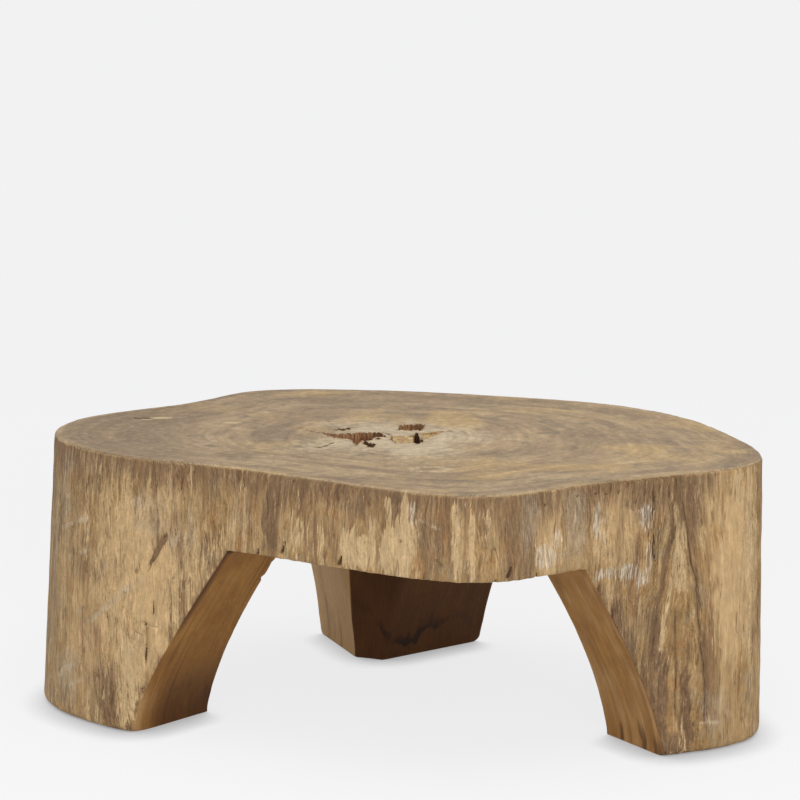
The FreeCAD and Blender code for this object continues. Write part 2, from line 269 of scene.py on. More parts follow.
def along(x, y):
    """Way round the rim in mm, 0 at the front, positive to the right."""
    turn = np.arctan2(y - TRUNK[1], x - TRUNK[0])
    turn = np.where(turn > 0.5 * math.pi, turn - 2 * math.pi, turn)
    return np.interp(turn, turns, travel) / MM


def facing(way):
    """Level direction out of the trunk at a way round the rim."""
    direction = np.stack([np.interp(way * MM, travel, outward[:, axis]) for axis in (0, 1)], axis=-1)
    return direction / np.linalg.norm(direction, axis=-1, keepdims=True)


print("girth of the trunk in mm:", round((travel[-1] - travel[0]) / MM))

# %% [markdown]
# ## What the debarked side has been through
# The bark was peeled off, and under it the side weathered: pale flakes where the last layer tore
# away, gold, brown and grey patches where it stayed, crusts of lichen, places polished by handling,
# drying cracks, beetle holes, scrapes, a gouge on the left and deep folds on the right. Each mark has
# a place: the way round the rim and the height, both in mm. A patch has torn ends, because fibres
# break at different lengths. Ways beyond about 600 are on the back, where the marks are made up.

# %% Places of the patches
# for each stain a seed, then way, height, half width, half height and strength of each patch
PATCHES = {
    "pale": (11, (
        (-80, 311, 9, 27, 1.0), (-61, 308, 12, 22, 0.9), (-45, 326, 5, 34, 1.0), (-3, 318, 25, 36, 1.0),
        (-21, 368, 5, 18, 0.9), (4, 372, 6, 20, 0.95), (75, 338, 5.5, 54, 0.9),
        (97, 334, 4.5, 48, 0.85), (118, 350, 12, 36, 0.35), (-89, 312, 5, 26, 0.9),
        (-163, 322, 14, 30, 0.5), (-140, 310, 8, 24, 0.35), (-418, 84, 16, 66, 0.75),
        (-404, 128, 9, 30, 0.6), (-432, 40, 13, 40, 0.6), (-492, 14, 6, 14, 0.7),
        (-484, 374, 2.5, 8, 0.9), (-441, 354, 2.5, 11, 0.9), (-430, 345, 2, 9, 0.8),
        (-256, 376, 2.5, 9, 0.8), (-462, 48, 2.5, 6, 0.9), (508, 372, 9, 26, 0.8),
        (528, 320, 8, 80, 0.7), (411, 262, 10, 26, 0.7), (419, 300, 5, 34, 0.6),
        (468, 210, 12, 70, 0.35), (-300, 260, 22, 60, 0.35), (-340, 200, 20, 60, 0.3),
        (700, 330, 20, 40, 0.9), (840, 240, 14, 60, 0.7), (1010, 320, 24, 46, 0.9),
        (1180, 250, 16, 70, 0.7), (-760, 300, 22, 60, 0.8), (-900, 330, 16, 40, 0.9),
        (-1080, 300, 24, 50, 0.7), (-1220, 200, 18, 80, 0.6),
    )),
    "gold": (211, (
        (-420, 210, 62, 130, 1.0), (-490, 130, 50, 100, 0.6), (-350, 300, 50, 60, 0.5),
        (440, 330, 60, 90, 0.3), (211, 338, 17, 62, 0.7), (318, 330, 36, 70, 0.65),
        (300, 250, 30, 40, 0.4), (510, 250, 46, 130, 0.75), (-505, 380, 24, 16, 0.8),
        (-470, 300, 26, 60, 0.4), (-345, 250, 40, 90, 0.5), (-560, 200, 18, 90, 0.4),
        (640, 260, 60, 120, 0.6), (900, 300, 70, 90, 0.6), (-700, 240, 60, 120, 0.6),
        (-1000, 240, 60, 120, 0.6),
    )),
    "brown": (411, (
        (-206, 344, 13, 66, 0.85), (-386, 380, 15, 20, 0.5), (-307, 386, 32, 14, 0.5),
        (-250, 392, 24, 12, 0.5), (-460, 376, 10, 14, 0.4), (42, 334, 20, 60, 0.55),
        (-116, 340, 22, 56, 0.45), (-58, 374, 22, 26, 0.5), (156, 340, 24, 66, 0.6),
        (425, 350, 27, 60, 0.65), (418, 58, 9, 62, 0.9), (404, 14, 22, 20, 0.8),
        (-456, 46, 15, 36, 0.75), (-466, 52, 26, 46, 0.5), (-443, 20, 10, 24, 0.6),
        (378, 166, 7, 40, 1.0), (386, 100, 8, 46, 0.9), (452, 110, 4, 66, 0.8), (-9, 390, 10, 10, 0.9),
        (352, 200, 16, 60, 0.45), (-458, 236, 26, 26, 0.35), (-505, 235, 34, 46, 0.3),
        (-520, 330, 12, 60, 0.4), (-150, 390, 40, 9, 0.7), (640, 380, 40, 20, 0.8),
        (760, 300, 24, 80, 0.7), (930, 200, 18, 90, 0.8), (1100, 360, 26, 40, 0.8),
        (-640, 350, 26, 50, 0.7), (-830, 220, 16, 90, 0.8), (-1150, 360, 30, 40, 0.8),
    )),
    "grey": (611, (
        (-543, 62, 28, 40, 0.55), (-331, 308, 9, 34, 0.4), (-362, 288, 7, 18, 0.4),
        (250, 346, 17, 56, 0.6), (-400, 320, 26, 30, 0.4), (-250, 330, 20, 30, 0.3),
        (180, 360, 14, 40, 0.5), (-560, 330, 14, 60, 0.5), (470, 60, 24, 30, 0.45),
        (-590, 200, 10, 150, 0.5), (800, 350, 30, 40, 0.6), (-960, 120, 30, 70, 0.6),
    )),
    "lichen": (811, (
        (203, 309, 20, 17, 0.9), (222, 322, 10, 20, 0.7), (288, 348, 7, 30, 0.9),
        (300, 330, 4, 20, 0.6), (363, 345, 13, 18, 0.9), (332, 271, 17, 12, 1.0),
        (358, 260, 10, 12, 0.9), (366, 288, 5, 22, 0.8), (304, 272, 17, 8, 0.95),
        (375, 310, 5, 20, 0.5), (15, 370, 6, 16, 0.7), (-416, 338, 6, 14, 0.6), (460, 39, 17, 4, 0.5),
        (-1040, 180, 16, 20, 0.7),
    )),
    "polished": (911, (
        (488, 230, 36, 190, 0.7), (494, 50, 34, 60, 0.6), (-386, 205, 24, 100, 0.5),
        (-432, 262, 30, 50, 0.35), (60, 340, 230, 70, 0.3), (-520, 170, 16, 60, 0.4),
        (318, 330, 16, 40, 0.5), (-3, 318, 20, 30, 0.4), (880, 250, 60, 120, 0.7),
    )),
}
print("patches on the side:", {name: len(places) for name, (seed, places) in PATCHES.items()})

# %% Places of the cuts
# way and height of both ends, width and depth of each drying crack
CRACKS = (
    (-396, 166, -397, 98, 3.8, 4.0), (-464, 174, -452, 116, 2.0, 1.5), (-384, 262, -398, 236, 2.6, 2.0),
    (-386, 200, -386, 174, 2.6, 2.5), (-402, 167, -396, 162, 3.4, 3.0),
    (-424, 141, -398, 129, 2.2, 1.5), (-416, 152, -399, 144, 1.8, 1.2),
    (-390, 140, -392, 112, 2.0, 1.5), (-424, 134, -411, 130, 1.6, 1.5),
    (-396, 163, -374, 160, 1.4, 1.2), (-581, 326, -575, 262, 1.8, 2.5), (-503, 113, -519, 62, 1.8, 2.0),
    (374, 396, 374, 226, 2.4, 4.0), (367, 392, 366, 300, 1.6, 2.5), (382, 380, 379, 240, 1.4, 2.0),
    (360, 396, 361, 330, 1.4, 2.0), (440, 250, 448, 196, 1.6, 2.0), (398, 396, 396, 330, 1.8, 2.0),
    (408, 398, 407, 372, 2.0, 2.5), (514, 260, 509, 150, 1.6, 1.5), (58, 300, 46, 312, 2.0, 2.0),
    (-252, 398, -251, 372, 2.2, 2.0), (-345, 396, -348, 356, 2.0, 2.0),
    (-212, 396, -214, 330, 2.0, 2.0), (560, 380, 556, 120, 2.0, 2.5), (790, 396, 786, 230, 2.6, 4.0),
    (980, 300, 984, 120, 2.4, 3.5), (-720, 396, -716, 220, 2.4, 3.5), (-1130, 280, -1126, 60, 2.2, 3.0),
)
# way, height, half width, half height and depth of each bite out of the slab's edges
BITES = (
    (-185, 298, 3.5, 9, 5.0), (-226, 287, 3.0, 6, 5.0), (-95, 294, 4.5, 9, 4.5),
    (149, 296, 4.5, 10, 4.5), (128, 283, 4, 4, 4.0), (190, 283, 4, 5, 4.0), (407, 398, 9, 4, 1.4),
    (-2, 332, 2.2, 4, 3.0),
)
# way and height of both ends, half width of each slanting scrape left by hauling
SCRAPES = (
    (-344, 304, -368, 274, 7), (-398, 234, -442, 198, 8), (-432, 208, -472, 174, 8),
    (-460, 182, -498, 146, 7), (-497, 304, -578, 272, 6), (-498, 258, -520, 245, 5),
    (-466, 240, -482, 220, 5), (-520, 90, -562, 50, 7), (-500, 66, -548, 44, 6), (20, 365, 56, 351, 3),
    (440, 44, 478, 38, 4), (900, 300, 960, 260, 7), (-900, 260, -960, 200, 7),
)
# way, height and radius of each beetle hole
HOLES = (
    (285, 384, 1.7), (301, 382, 1.2), (321, 383, 1.6), (256, 385, 1.0), (240, 386, 1.4),
    (203, 379, 1.8), (-398, 68, 1.8), (-397, 163, 2.6), (331, 376, 0.9), (-330, 388, 1.2),
    (-170, 392, 1.3),
)
HOLE_DEPTH = 2.0
# way and height of both ends, half width and depth of the gouge, and the heights where its foot fades
GOUGE = (-368, 300, -396, 240, 6.5, 4.0)
GOUGE_FOOT = (236, 268)
# half width to the left and to the right, strength and crack width of a fold, then its ways and heights
FOLDS = (
    (14, 4, 0.95, 0.6, ((405, 372), (403, 320), (394, 274), (387, 240), (379, 212), (374, 177), (371, 132))),
    (6, 8, 0.7, 1.8, ((417, 378), (425, 306), (437, 249), (443, 184), (449, 133), (452, 36))),
    (4, 5, 0.6, 1.6, ((405, 223), (406, 170), (407, 81), (408, 40))),
    (8, 5, 0.8, 0.6, ((391, 164), (387, 130), (384, 98), (382, 26))),
    (5, 11, 0.9, 0.8, ((412, 130), (421, 50), (433, 4))),
)
FOLD_DEPTH = 3.4
# ways and heights of the ridges between the folds, where a pale highlight is painted
PAINTED_HIGHLIGHT_RIDGES = (
    ((408, 372), (409, 322), (408, 280), (397, 236), (388, 200), (382, 140)),
    ((412, 320), (416, 280), (424, 226)),
)
# two fibres of the right leg that spread downwards, and the ways they would keep if they ran upright
LEFT_FIBRE = ((366, 0), (371, 142), (379, 212), (394, 274), (404, 329), (406, 400))
RIGHT_FIBRE = ((452, 0), (449, 133), (443, 184), (437, 249), (425, 306), (416, 400))
UPRIGHT = (330, 390, 436, 520)
print("cuts in the side:", sum(len(cuts) for cuts in (CRACKS, BITES, SCRAPES, HOLES, FOLDS)) + 1)


# %% Forms of the marks
def torn_patch(way, height, place, seed):
    """One patch, strongest in its middle, with long torn ends and wavering sides."""
    at, up, wide, tall, strength = place
    tear = noise(way / 4.0, 0, 0, seed) + 0.6 * noise(way / 11.0, 0.5, 0, seed)
    side = noise(height / 22.0, way / 60.0, 0, seed + 1)
    across = np.abs(way - at + 0.35 * wide * side) / wide
    rise = np.maximum(np.abs(height - up) / tall + 0.25 * tear, 0)
    return strength * ramp(1.5, 0.6, np.cbrt(across ** 3 + rise ** 3))


def patches(way, height, places, seed):
    """The strongest of several patches at every point."""
    total = np.zeros(np.shape(way))
    for number, place in enumerate(places):
        at, up, wide, tall = place[:4]
        near = (np.abs(way - at) < 2 * wide + 10) & (np.abs(height - up) < 3 * tall + 10)
        total[near] = np.maximum(total[near], torn_patch(way[near], height[near], place, seed + 7 * number))
    return total


def slit(way, height, ends, reach=6.5):
    """Distance in mm from a crack's wandering line, signed, and its strength, which fades at its ends."""
    way_a, up_a, way_b, up_b = ends[:4]
    run = np.array([way_b - way_a, up_b - up_a], float)
    span = np.hypot(*run)
    seed = int(abs(way_a)) + 3
    wander = 1.1 * noise(height / 23.0, 0, 0, seed) + 0.7 * noise(height / 6.0, 0, 0, seed + 1)
    t = ((way - way_a) * run[0] + (height - up_a) * run[1]) / span ** 2
    off = ((way + wander - way_a) * run[1] - (height - up_a) * run[0]) / span
    return off, ramp(-0.05, 0.2, t) * ramp(1.05, 0.8, t) * ramp(reach, reach - 1.5, np.abs(off))


def seam(way, height, line):
    """Signed distance in mm from a climbing line of points, and a strength that fades at its ends."""
    ways, ups = np.array(sorted(line, key=lambda point: point[1]), float).T
    own = ways[0] + 0.5
    wander = 2.5 * noise(height / 40.0, own, 0, 27) + 1.0 * noise(height / 9.0, own, 0, 28)
    off = way + wander - np.interp(height, ups, ways)
    return off, ramp(ups[0] - 3, ups[0] + 20, height) * ramp(ups[-1] + 3, ups[-1] - 26, height)


def leaning(way, height):
    """How far in mm a fibre stands from where it would be if the trunk had grown upright."""
    left, right = [np.interp(height, *np.array(line, float).T[::-1]) for line in (LEFT_FIBRE, RIGHT_FIBRE)]
    stops = (UPRIGHT[0], left, right, UPRIGHT[3])
    moved = way
    for number in range(3):
        low, high = stops[number], stops[number + 1]
        part = UPRIGHT[number] + (way - low) / (high - low) * (UPRIGHT[number + 1] - UPRIGHT[number])
        moved = np.where((way >= low) & (way < high), part, moved)
    sway = 16 * noise(way / 170.0, height / 260.0, 0, 29) + 2.2 * noise(way / 24.0, height / 36.0, 0, 30)
    return moved - way + sway + 0.8 * noise(way / 8.0, height / 13.0, 0, 38)


low_lean = leaning(np.array(440.0), np.array(60.0))
print("lean of a fibre low on the right leg in mm:", round(float(low_lean), 1))

# %% Laying marks on points
NO_CRACK = 12.0


def lay(stain, name, value):
    """Adds to a stain wherever it is not yet that strong."""
    stain[name] = np.maximum(stain[name], value)


def open_crack(stain, off, strength, width):
    """Notes a crack's line and width at the points that have no nearer crack."""
    nearer = (strength > 0) & (np.abs(off) < np.abs(stain["rift_at"]))
    stain["rift_at"] = np.where(nearer, off, stain["rift_at"])
    stain["rift"] = np.where(nearer, width, stain["rift"])


def weather(stain, x, y, z, way):
    """Streaks without a place of their own: pale, brown, and a brown fringe under the rim."""
    wild = streaks(x, y, z, 26, 150, 21) + 0.7 * streaks(x, y, z, 8, 90, 22)
    lay(stain, "pale", 0.5 * ramp(0.5, 1.1, wild))
    lay(stain, "brown", 0.45 * ramp(-0.4, -1.0, wild))
    fringe = 14 * streaks(x, y, z, 7, 300, 23) + 14 * streaks(x, y, z, 40, 300, 24)
    lay(stain, "brown", (0.66 - 0.45 * ramp(450, 490, way)) * ramp(300, 398, z / MM + fringe))


# %% Cracks and bites
def cut_cracks(stain, way, height):
    """Drying cracks that open and close along their lines; returns their depth in mm."""
    deep = np.zeros(way.shape)
    for crack in CRACKS:
        width, depth = crack[4:]
        off, strength = slit(way, height, crack)
        gape = 0.35 + 0.65 * ramp(-0.5, 0.3, noise(height / 13.0, crack[0] + 0.5, 0, 37))
        open_crack(stain, off, strength, width * strength * gape)
        deep = np.maximum(deep, depth * strength * ramp(width + 1.5, 0.3 * width, np.abs(off)))
    return deep


def cut_bites(stain, way, height):
    """Leaning bites, wider below and darkened by painted shade, and round beetle holes; returns their depth
    in mm.
    """
    deep = np.zeros(way.shape)
    for at, up, wide, tall, depth in BITES:
        notch = wide * ramp(1.2, -0.9, (height - up) / tall) + 0.8 * noise(height / 3.0, at + 0.5, 0, 25)
        share = ramp(1.3, 0.3, np.abs(way - at - 0.35 * (height - up)) / np.maximum(notch, 0.4))
        share = share * ramp(1.3, 0.7, np.abs(height - up) / tall)
        # painted shade in each bite, laid as dark, darker the deeper it is
        lay(stain, "dark", min(0.8, 0.2 * depth) * share)
        deep = np.maximum(deep, share * depth)
    for at, up, radius in HOLES:
        share = ramp(1.9 * radius, 0.5 * radius, np.hypot(way - at, height - up))
        lay(stain, "dark", 0.8 * share)
        deep = np.maximum(deep, HOLE_DEPTH * share)
    return deep


# %% Folds and scrapes
def cut_folds(stain, way, height):
    """Folds in brown and painted shade, painted highlights on the ridges, and the gouge; returns their depth
    in mm.
    """
    off, strength = slit(way, height, GOUGE)
    gouge = strength * ramp(GOUGE[4], 2.5, np.abs(off)) * ramp(*GOUGE_FOOT, height + 4 * off)
    lay(stain, "brown", 1.3 * gouge)
    deep = GOUGE[5] * gouge
    for left, right, power, width, line in FOLDS:
        off, strength = seam(way, height, line)
        hollow = power * strength * np.where(off < 0, ramp(-left, -1, off), ramp(right, 1, off))
        # brown in a fold, as strong as its hollow is deep: partly its own colour, partly painted shade in
        # the crease
        lay(stain, "brown", hollow)
        open_crack(stain, off, strength, width * strength)
        deep = np.maximum(deep, FOLD_DEPTH * hollow)
    for line in PAINTED_HIGHLIGHT_RIDGES:
        off, strength = seam(way, height, line)
        # painted highlight along each ridge, laid as pale
        lay(stain, "pale", 0.75 * strength * ramp(7, 1, np.abs(off)))
    return deep


def rub_scrapes(stain, way, height):
    """Chalky scrapes with wavering edges, fainter in places."""
    for number, scrape in enumerate(SCRAPES):
        wide = scrape[4]
        off, strength = slit(way, height, scrape, 11)
        off = np.abs(off + 0.35 * wide * noise(way / 14.0, height / 14.0, 0, 60 + number))
        rubbed = 0.4 + 0.6 * ramp(-0.6, 0.6, noise(way / 10.0, height / 8.0, 0, 40 + number))
        lay(stain, "chalk", strength * rubbed * ramp(wide, 0.25 * wide, off))


# %% Relief and stains of the side
# height, width and length in mm and seed of the waves in the wood: lumps, flutes, then fibres
WAVES = ((0.7, 21, 34, 35), (0.45, 11, 20, 36), (0.9, 48, 420, 31), (0.6, 17, 200, 32), (0.35, 6.5, 70, 33))
FLAKE_DEPTH, PLEAT_DEPTH, PROUD = 0.8, 1.8, 0.05


def side_marks(x, y, z):
    """How deep the side is worn, in metres, and how strong each stain is, at points of the trunk's skin."""
    way, height = along(x, y), z / MM
    stain = {name: patches(way, height, places, seed) for name, (seed, places) in PATCHES.items()}
    stain.update({name: np.zeros(way.shape) for name in ("dark", "chalk", "rift")})
    stain["rift_at"] = np.full(way.shape, NO_CRACK)
    weather(stain, x, y, z, way)
    deep = np.max([cut(stain, way, height) for cut in (cut_cracks, cut_bites, cut_folds)], axis=0)
    rub_scrapes(stain, way, height)
    lean, out = leaning(way, height), facing(way)
    stain["lean_x"], stain["lean_y"] = -out[..., 1] * lean * MM, out[..., 0] * lean * MM

    waves = sum(size * streaks(x, y, z, width, length, seed) for size, width, length, seed in WAVES)
    flaked = FLAKE_DEPTH * ramp(0.3, 0.6, stain["pale"])
    pleats = PLEAT_DEPTH * (0.5 + 0.5 * noise((way + lean) / 9.0, height / 260.0, 0, 34))
    pleats = pleats * ramp(340, 372, way) * ramp(470, 440, way) * ramp(330, 250, height)
    return (deep + waves + flaked + pleats - PROUD) * MM, stain


wear = side_marks(*middle.T, np.full(len(middle), (SLAB_Z + TOP_Z) / 2))[0] / MM
print("wear half way up the slab in mm:", round(wear.min(), 1), "to", round(wear.max(), 1))

# %% [markdown]
# ## Growth rings
# Rings are the same distance apart all round near the pith and follow the outline near the bark. One
# number per point, a growth distance, carries that: true distance from the pith inside, share of
# the way to the rim outside. A material can then draw rings from it on any cut.

# %% Growth distance
PITH = np.array([-10.0, 8.0]) * MM
BELOW_RIM = 20 * MM
pith_turns = np.linspace(-math.pi, math.pi, 721)
pith_reach = np.linalg.norm(section(slab_skin, PITH, TOP_Z - BELOW_RIM, pith_turns) - PITH, axis=1)
mean_reach = pith_reach.mean()


def growth(x, y):
    """Growth distance from the pith in metres, bent to the outline towards the rim."""
    turn = np.arctan2(y - PITH[1], x - PITH[0])
    away = np.hypot(x - PITH[0], y - PITH[1])
    share = away / np.interp(turn, pith_turns, pith_reach)
    follow = ramp(0.15, 0.8, share)
    return (1 - follow) * away + follow * share * mean_reach


print("mean distance from pith to bark in mm:", round(mean_reach / MM))

# %% [markdown]
# ## Mesh helpers
# Sides are lofted: rows of points, joined by quads. Level faces are filled with triangles by a
# constrained triangulation, which takes any outline, holes included, and points inside it that give
# the face something to bend with.


# %% Filling outlines
def inside(points, loop):
    """Which points lie within a closed outline."""
    x, y = points[:, 0], points[:, 1]
    result = np.zeros(len(points), bool)
    for (ax, ay), (bx, by) in zip(loop, np.roll(loop, -1, axis=0)):
        if ay != by:
            result ^= ((ay > y) != (by > y)) & (x < (bx - ax) * (y - ay) / (by - ay) + ax)
    return result


def within(points, loops):
    """Which points lie within the first outline and outside the others."""
    result = inside(points, loops[0])
    for loop in loops[1:]:
        result &= ~inside(points, loop)
    return result


def gap_to(points, line):
    """Distance of every point from the nearest point of an outline."""
    gap = np.full(len(points), np.inf)
    for other in line:
        gap = np.minimum(gap, np.linalg.norm(points - other, axis=1))
    return gap


def scatter(loops, pitch, seed, room=None):
    """Jittered points on a grid, within the outlines and clear of them."""
    low, high = loops[0].min(axis=0), loops[0].max(axis=0)
    grid = np.meshgrid(*[np.arange(low[axis], high[axis], pitch) for axis in (0, 1)])
    points = np.stack(grid, axis=-1).reshape(-1, 2)
    points = points + np.random.default_rng(seed).uniform(-0.3, 0.3, points.shape) * pitch
    points = points[within(points, loops)]
    for loop in loops:
        points = points[gap_to(points, loop) > (room or 0.6 * pitch)]
    return points


def fill(loops, inner):
    """Triangles between the outlines, as indices into all the outlines' points and then the inner ones."""
    points = [Vector(p) for loop in loops for p in loop] + [Vector(p) for p in inner]
    edges = []
    start = 0
    for loop in loops:
        edges += [(start + i, start + (i + 1) % len(loop)) for i in range(len(loop))]
        start += len(loop)
    made = delaunay_2d_cdt(points, edges, [], 1, 1e-9)
    spots = np.array(made[0])
    # a new point, made where outlines cross, is taken to the nearest one that was given
    source = [kept[0] if kept else int(np.argmin(np.linalg.norm(np.array(points) - spots[number], axis=1)))
              for number, kept in enumerate(made[3])]
    wanted = within(spots[np.array(made[2])].mean(axis=1), loops)
    return [tuple(source[corner] for corner in face) for face, keep in zip(made[2], wanted) if keep]


square = np.array([(0, 0), (1, 0), (1, 1), (0, 1)], float)
print("triangles that fill a square:", len(fill([square], np.zeros((0, 2)))))


# %% A piece while it is built
class Piece:
    """Points, faces, stains and material numbers of one piece."""

    def __init__(self):
        self.points = []
        self.faces = []
        self.kinds = []
        self.stains = {}
        self.count = 0

    def place(self, points, **stains):
        """Adds points and returns their numbers."""
        points = np.asarray(points, float).reshape(-1, 3)
        first = self.count
        self.points.append(points)
        self.count += len(points)
        for name, value in stains.items():
            self.stains.setdefault(name, []).append((first, np.broadcast_to(np.ravel(value), len(points))))
        return np.arange(first, self.count)

    def quads(self, numbers, kinds):
        """Joins closed rows of numbers; kinds has one material number for each column."""
        rows, columns = numbers.shape
        for column in range(columns):
            after = (column + 1) % columns
            for row in range(rows - 1):
                self.faces.append((numbers[row, column], numbers[row, after],
                                   numbers[row + 1, after], numbers[row + 1, column]))
                self.kinds.append(kinds[column])

    def cap(self, loops, numbers, inner, levels, kind, down=False, **stains):
        """Closes outlines of known numbers with triangles, turned over for a face that looks down."""
        heights_inside = np.broadcast_to(levels, len(inner))
        extra = self.place(np.column_stack([inner, heights_inside]), **stains)
        corners = np.concatenate(numbers + [extra])
        for face in fill(loops, inner):
            turned = tuple(corners[corner] for corner in face)
            self.faces.append(turned[::-1] if down else turned)
            self.kinds.append(kind)

    def finish(self, name, materials, nodes, sharp=32):
        """Makes the Blender object, gives it its materials and ties it to the CAD."""
        mesh = bpy.data.meshes.new(name)
        points = np.concatenate(self.points)
        mesh.from_pydata(points.tolist(), [], [tuple(int(v) for v in face) for face in self.faces])
        for material in materials:
            mesh.materials.append(material)
        mesh.polygons.foreach_set("material_index", self.kinds)
        mesh.polygons.foreach_set("use_smooth", [True] * len(mesh.polygons))
        stains = dict(self.stains)
        stains["growth"] = [(0, growth(points[:, 0], points[:, 1]))]
        for label, parts in stains.items():
            values = np.zeros(len(points), np.float32)
            for first, part in parts:
                values[first:first + len(part)] = part
            mesh.attributes.new(label, "FLOAT", "POINT").data.foreach_set("value", values)
        mesh.validate()
        mesh.set_sharp_from_angle(angle=math.radians(sharp))
        thing = bpy.data.objects.new(name, mesh)
        bpy.context.scene.collection.objects.link(thing)
        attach(thing, "root")
        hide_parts(*nodes)
        print(f"{name}: {len(points)} points, {len(self.faces)} faces")


# %% [markdown]
# ## Materials
# Every surface here is the same tree, opened in a different way, so each gets its own material: the
# peeled side, the sawn end, the carved flank, the split heart. They share one habit. A stain that was
# painted on the points is roughened by fibre noise before it shows, which gives it torn edges finer
# than the mesh. The fibre noise is stretched along the trunk by squeezing the heights.


# %% Patterns of wood
def wood(name):
    """A node material with only its grain coordinates: the place, moved aside where the fibres lean."""
    material = bpy.data.materials.new(name)
    material.use_nodes = True
    tree = material.node_tree
    tree.nodes.clear()
    lean = [add(tree, "ShaderNodeAttribute", attribute_name=mark) for mark in ("lean_x", "lean_y")]
    aside = add(tree, "ShaderNodeCombineXYZ", {0: lean[0].outputs["Fac"], 1: lean[1].outputs["Fac"]})
    place = add(tree, "ShaderNodeTexCoord").outputs["Object"]
    add(tree, "ShaderNodeVectorMath", {0: place, 1: aside.outputs[0]}, operation="ADD", name="place")
    return material, tree


def grain(tree, width, length, detail=5.0):
    """Noise in streaks of a width and length in mm."""
    squeeze = add(tree, "ShaderNodeMapping", {
        "Vector": tree.nodes["place"].outputs[0],
        "Scale": (1 / (width * MM), 1 / (width * MM), 1 / (length * MM)),
    })
    return add(tree, "ShaderNodeTexNoise", {
        "Vector": squeeze.outputs[0], "Scale": 1.0, "Detail": detail, "Roughness": 0.65,
    }).outputs["Fac"]


def rings(tree, pitch, length, detail=3.0):
    """Streaks that follow the growth rings, of a width across them and a length along them in mm."""
    distance = add(tree, "ShaderNodeAttribute", attribute_name="growth").outputs["Fac"]
    across = add(tree, "ShaderNodeMath", {0: distance, 1: 1 / (pitch * MM)}, operation="MULTIPLY")
    place = add(tree, "ShaderNodeVectorMath", {0: tree.nodes["place"].outputs[0], 3: 1 / (length * MM)},
                operation="SCALE")
    return add(tree, "ShaderNodeTexNoise", {
        "Vector": place.outputs[0], "W": across.outputs[0], "Scale": 1.0, "Detail": detail, "Roughness": 0.6,
    }, noise_dimensions="4D").outputs["Fac"]


# %% Colours and bumps of wood
def tinted(tree, colour, value, low, high, code, most=1.0):
    """Lays a colour over another as a value goes from low to high, eased, at most to a share."""
    share = add(tree, "ShaderNodeMapRange", {
        "Value": value, "From Min": low, "From Max": high, "To Max": most,
    }, interpolation_type="SMOOTHSTEP").outputs[0]
    return add(tree, "ShaderNodeMix", {0: share, 6: colour, 7: linear(code)}, data_type="RGBA").outputs[2]


def stained(tree, colour, mark, code, rough, tear=1.0, low=0.2, high=0.8, most=1.0):
    """Lays a painted stain over a colour, its edge torn by a grain noise."""
    painted = add(tree, "ShaderNodeAttribute", attribute_name=mark).outputs["Fac"]
    torn = add(tree, "ShaderNodeMath", {0: rough, 1: tear, 2: painted}, operation="MULTIPLY_ADD").outputs[0]
    return tinted(tree, colour, torn, low + tear / 2, high + tear / 2, code, most)


def shaded(tree, colour, value, least, most):
    """Darkens and lightens a colour by a noise around its middle."""
    level = add(tree, "ShaderNodeMapRange", {
        "Value": value, "From Min": 0.3, "From Max": 0.7, "To Min": least, "To Max": most,
    }).outputs[0]
    lit = add(tree, "ShaderNodeCombineColor", {0: level, 1: level, 2: level}).outputs[0]
    return add(tree, "ShaderNodeMix", {0: 1.0, 6: colour, 7: lit}, data_type="RGBA",
               blend_type="MULTIPLY").outputs[2]


def cracked(tree, colour, rough, code):
    """Draws cracks finer than the mesh, from the signed distance to their lines."""
    at = add(tree, "ShaderNodeAttribute", attribute_name="rift_at").outputs["Fac"]
    width = add(tree, "ShaderNodeAttribute", attribute_name="rift").outputs["Fac"]
    shaken = add(tree, "ShaderNodeMath", {0: rough, 1: 3.0, 2: at}, operation="MULTIPLY_ADD").outputs[0]
    middle = add(tree, "ShaderNodeMath", {0: shaken, 1: 1.5}, operation="SUBTRACT").outputs[0]
    gap = add(tree, "ShaderNodeMath", {0: middle}, operation="ABSOLUTE").outputs[0]
    wide = add(tree, "ShaderNodeMath", {0: width, 1: rough}, operation="MULTIPLY").outputs[0]
    depth = add(tree, "ShaderNodeMath", {0: wide, 1: gap}, operation="SUBTRACT").outputs[0]
    return tinted(tree, colour, depth, 0.0, 0.9, code)


def surface(material, colour, roughness, heights, gloss=0.35, strength=1.0):
    """Ends a wood material: a dull dielectric with bumps, each a height output and its depth in mm."""
    tree = material.node_tree
    normal = None
    for height, depth in heights:
        inputs = {"Height": height, "Strength": strength, "Distance": depth * MM}
        if normal:
            inputs["Normal"] = normal
        normal = add(tree, "ShaderNodeBump", inputs).outputs[0]
    shader = add(tree, "ShaderNodeBsdfPrincipled", {
        "Base Color": colour, "Roughness": roughness, "IOR": 1.5, "Normal": normal,
        "Specular IOR Level": gloss,
    })
    add(tree, "ShaderNodeOutputMaterial", {"Surface": shader.outputs[0]})
    print(f"{material.name}: {len(tree.nodes)} nodes")


# %% Weathered debarked side, its colour
# Bare sapwood, peeled by hand and left to weather: dry and dull. Broad clouds and long pale and dark
# strands give the eye the height of the trunk; the stains tell where layers tore away. Real fibres
# are a few tenths of a millimetre wide; they are drawn about 2 and 4 mm wide, so that they show.
side_wood, tree = wood("debarked_weathered_sapwood")
fine = grain(tree, 1.9, 19, 4.0)
fibre = grain(tree, 4.2, 68)
strand = grain(tree, 13, 240)
blotch = grain(tree, 55, 120)
tint = grain(tree, 30, 45, 3.0)
frayed = add(tree, "ShaderNodeMix", {0: 0.5, 2: fibre, 3: fine}, data_type="FLOAT").outputs[0]
colour = linear("#A18155")
for step in (
    (blotch, 0.36, 0.64, "#B6976C"), (tint, 0.54, 0.7, "#AC8354"), (tint, 0.46, 0.34, "#A38B69"),
    (strand, 0.5, 0.68, "#C7A97E"), (strand, 0.47, 0.33, "#8F7050"),
):
    colour = tinted(tree, colour, *step)
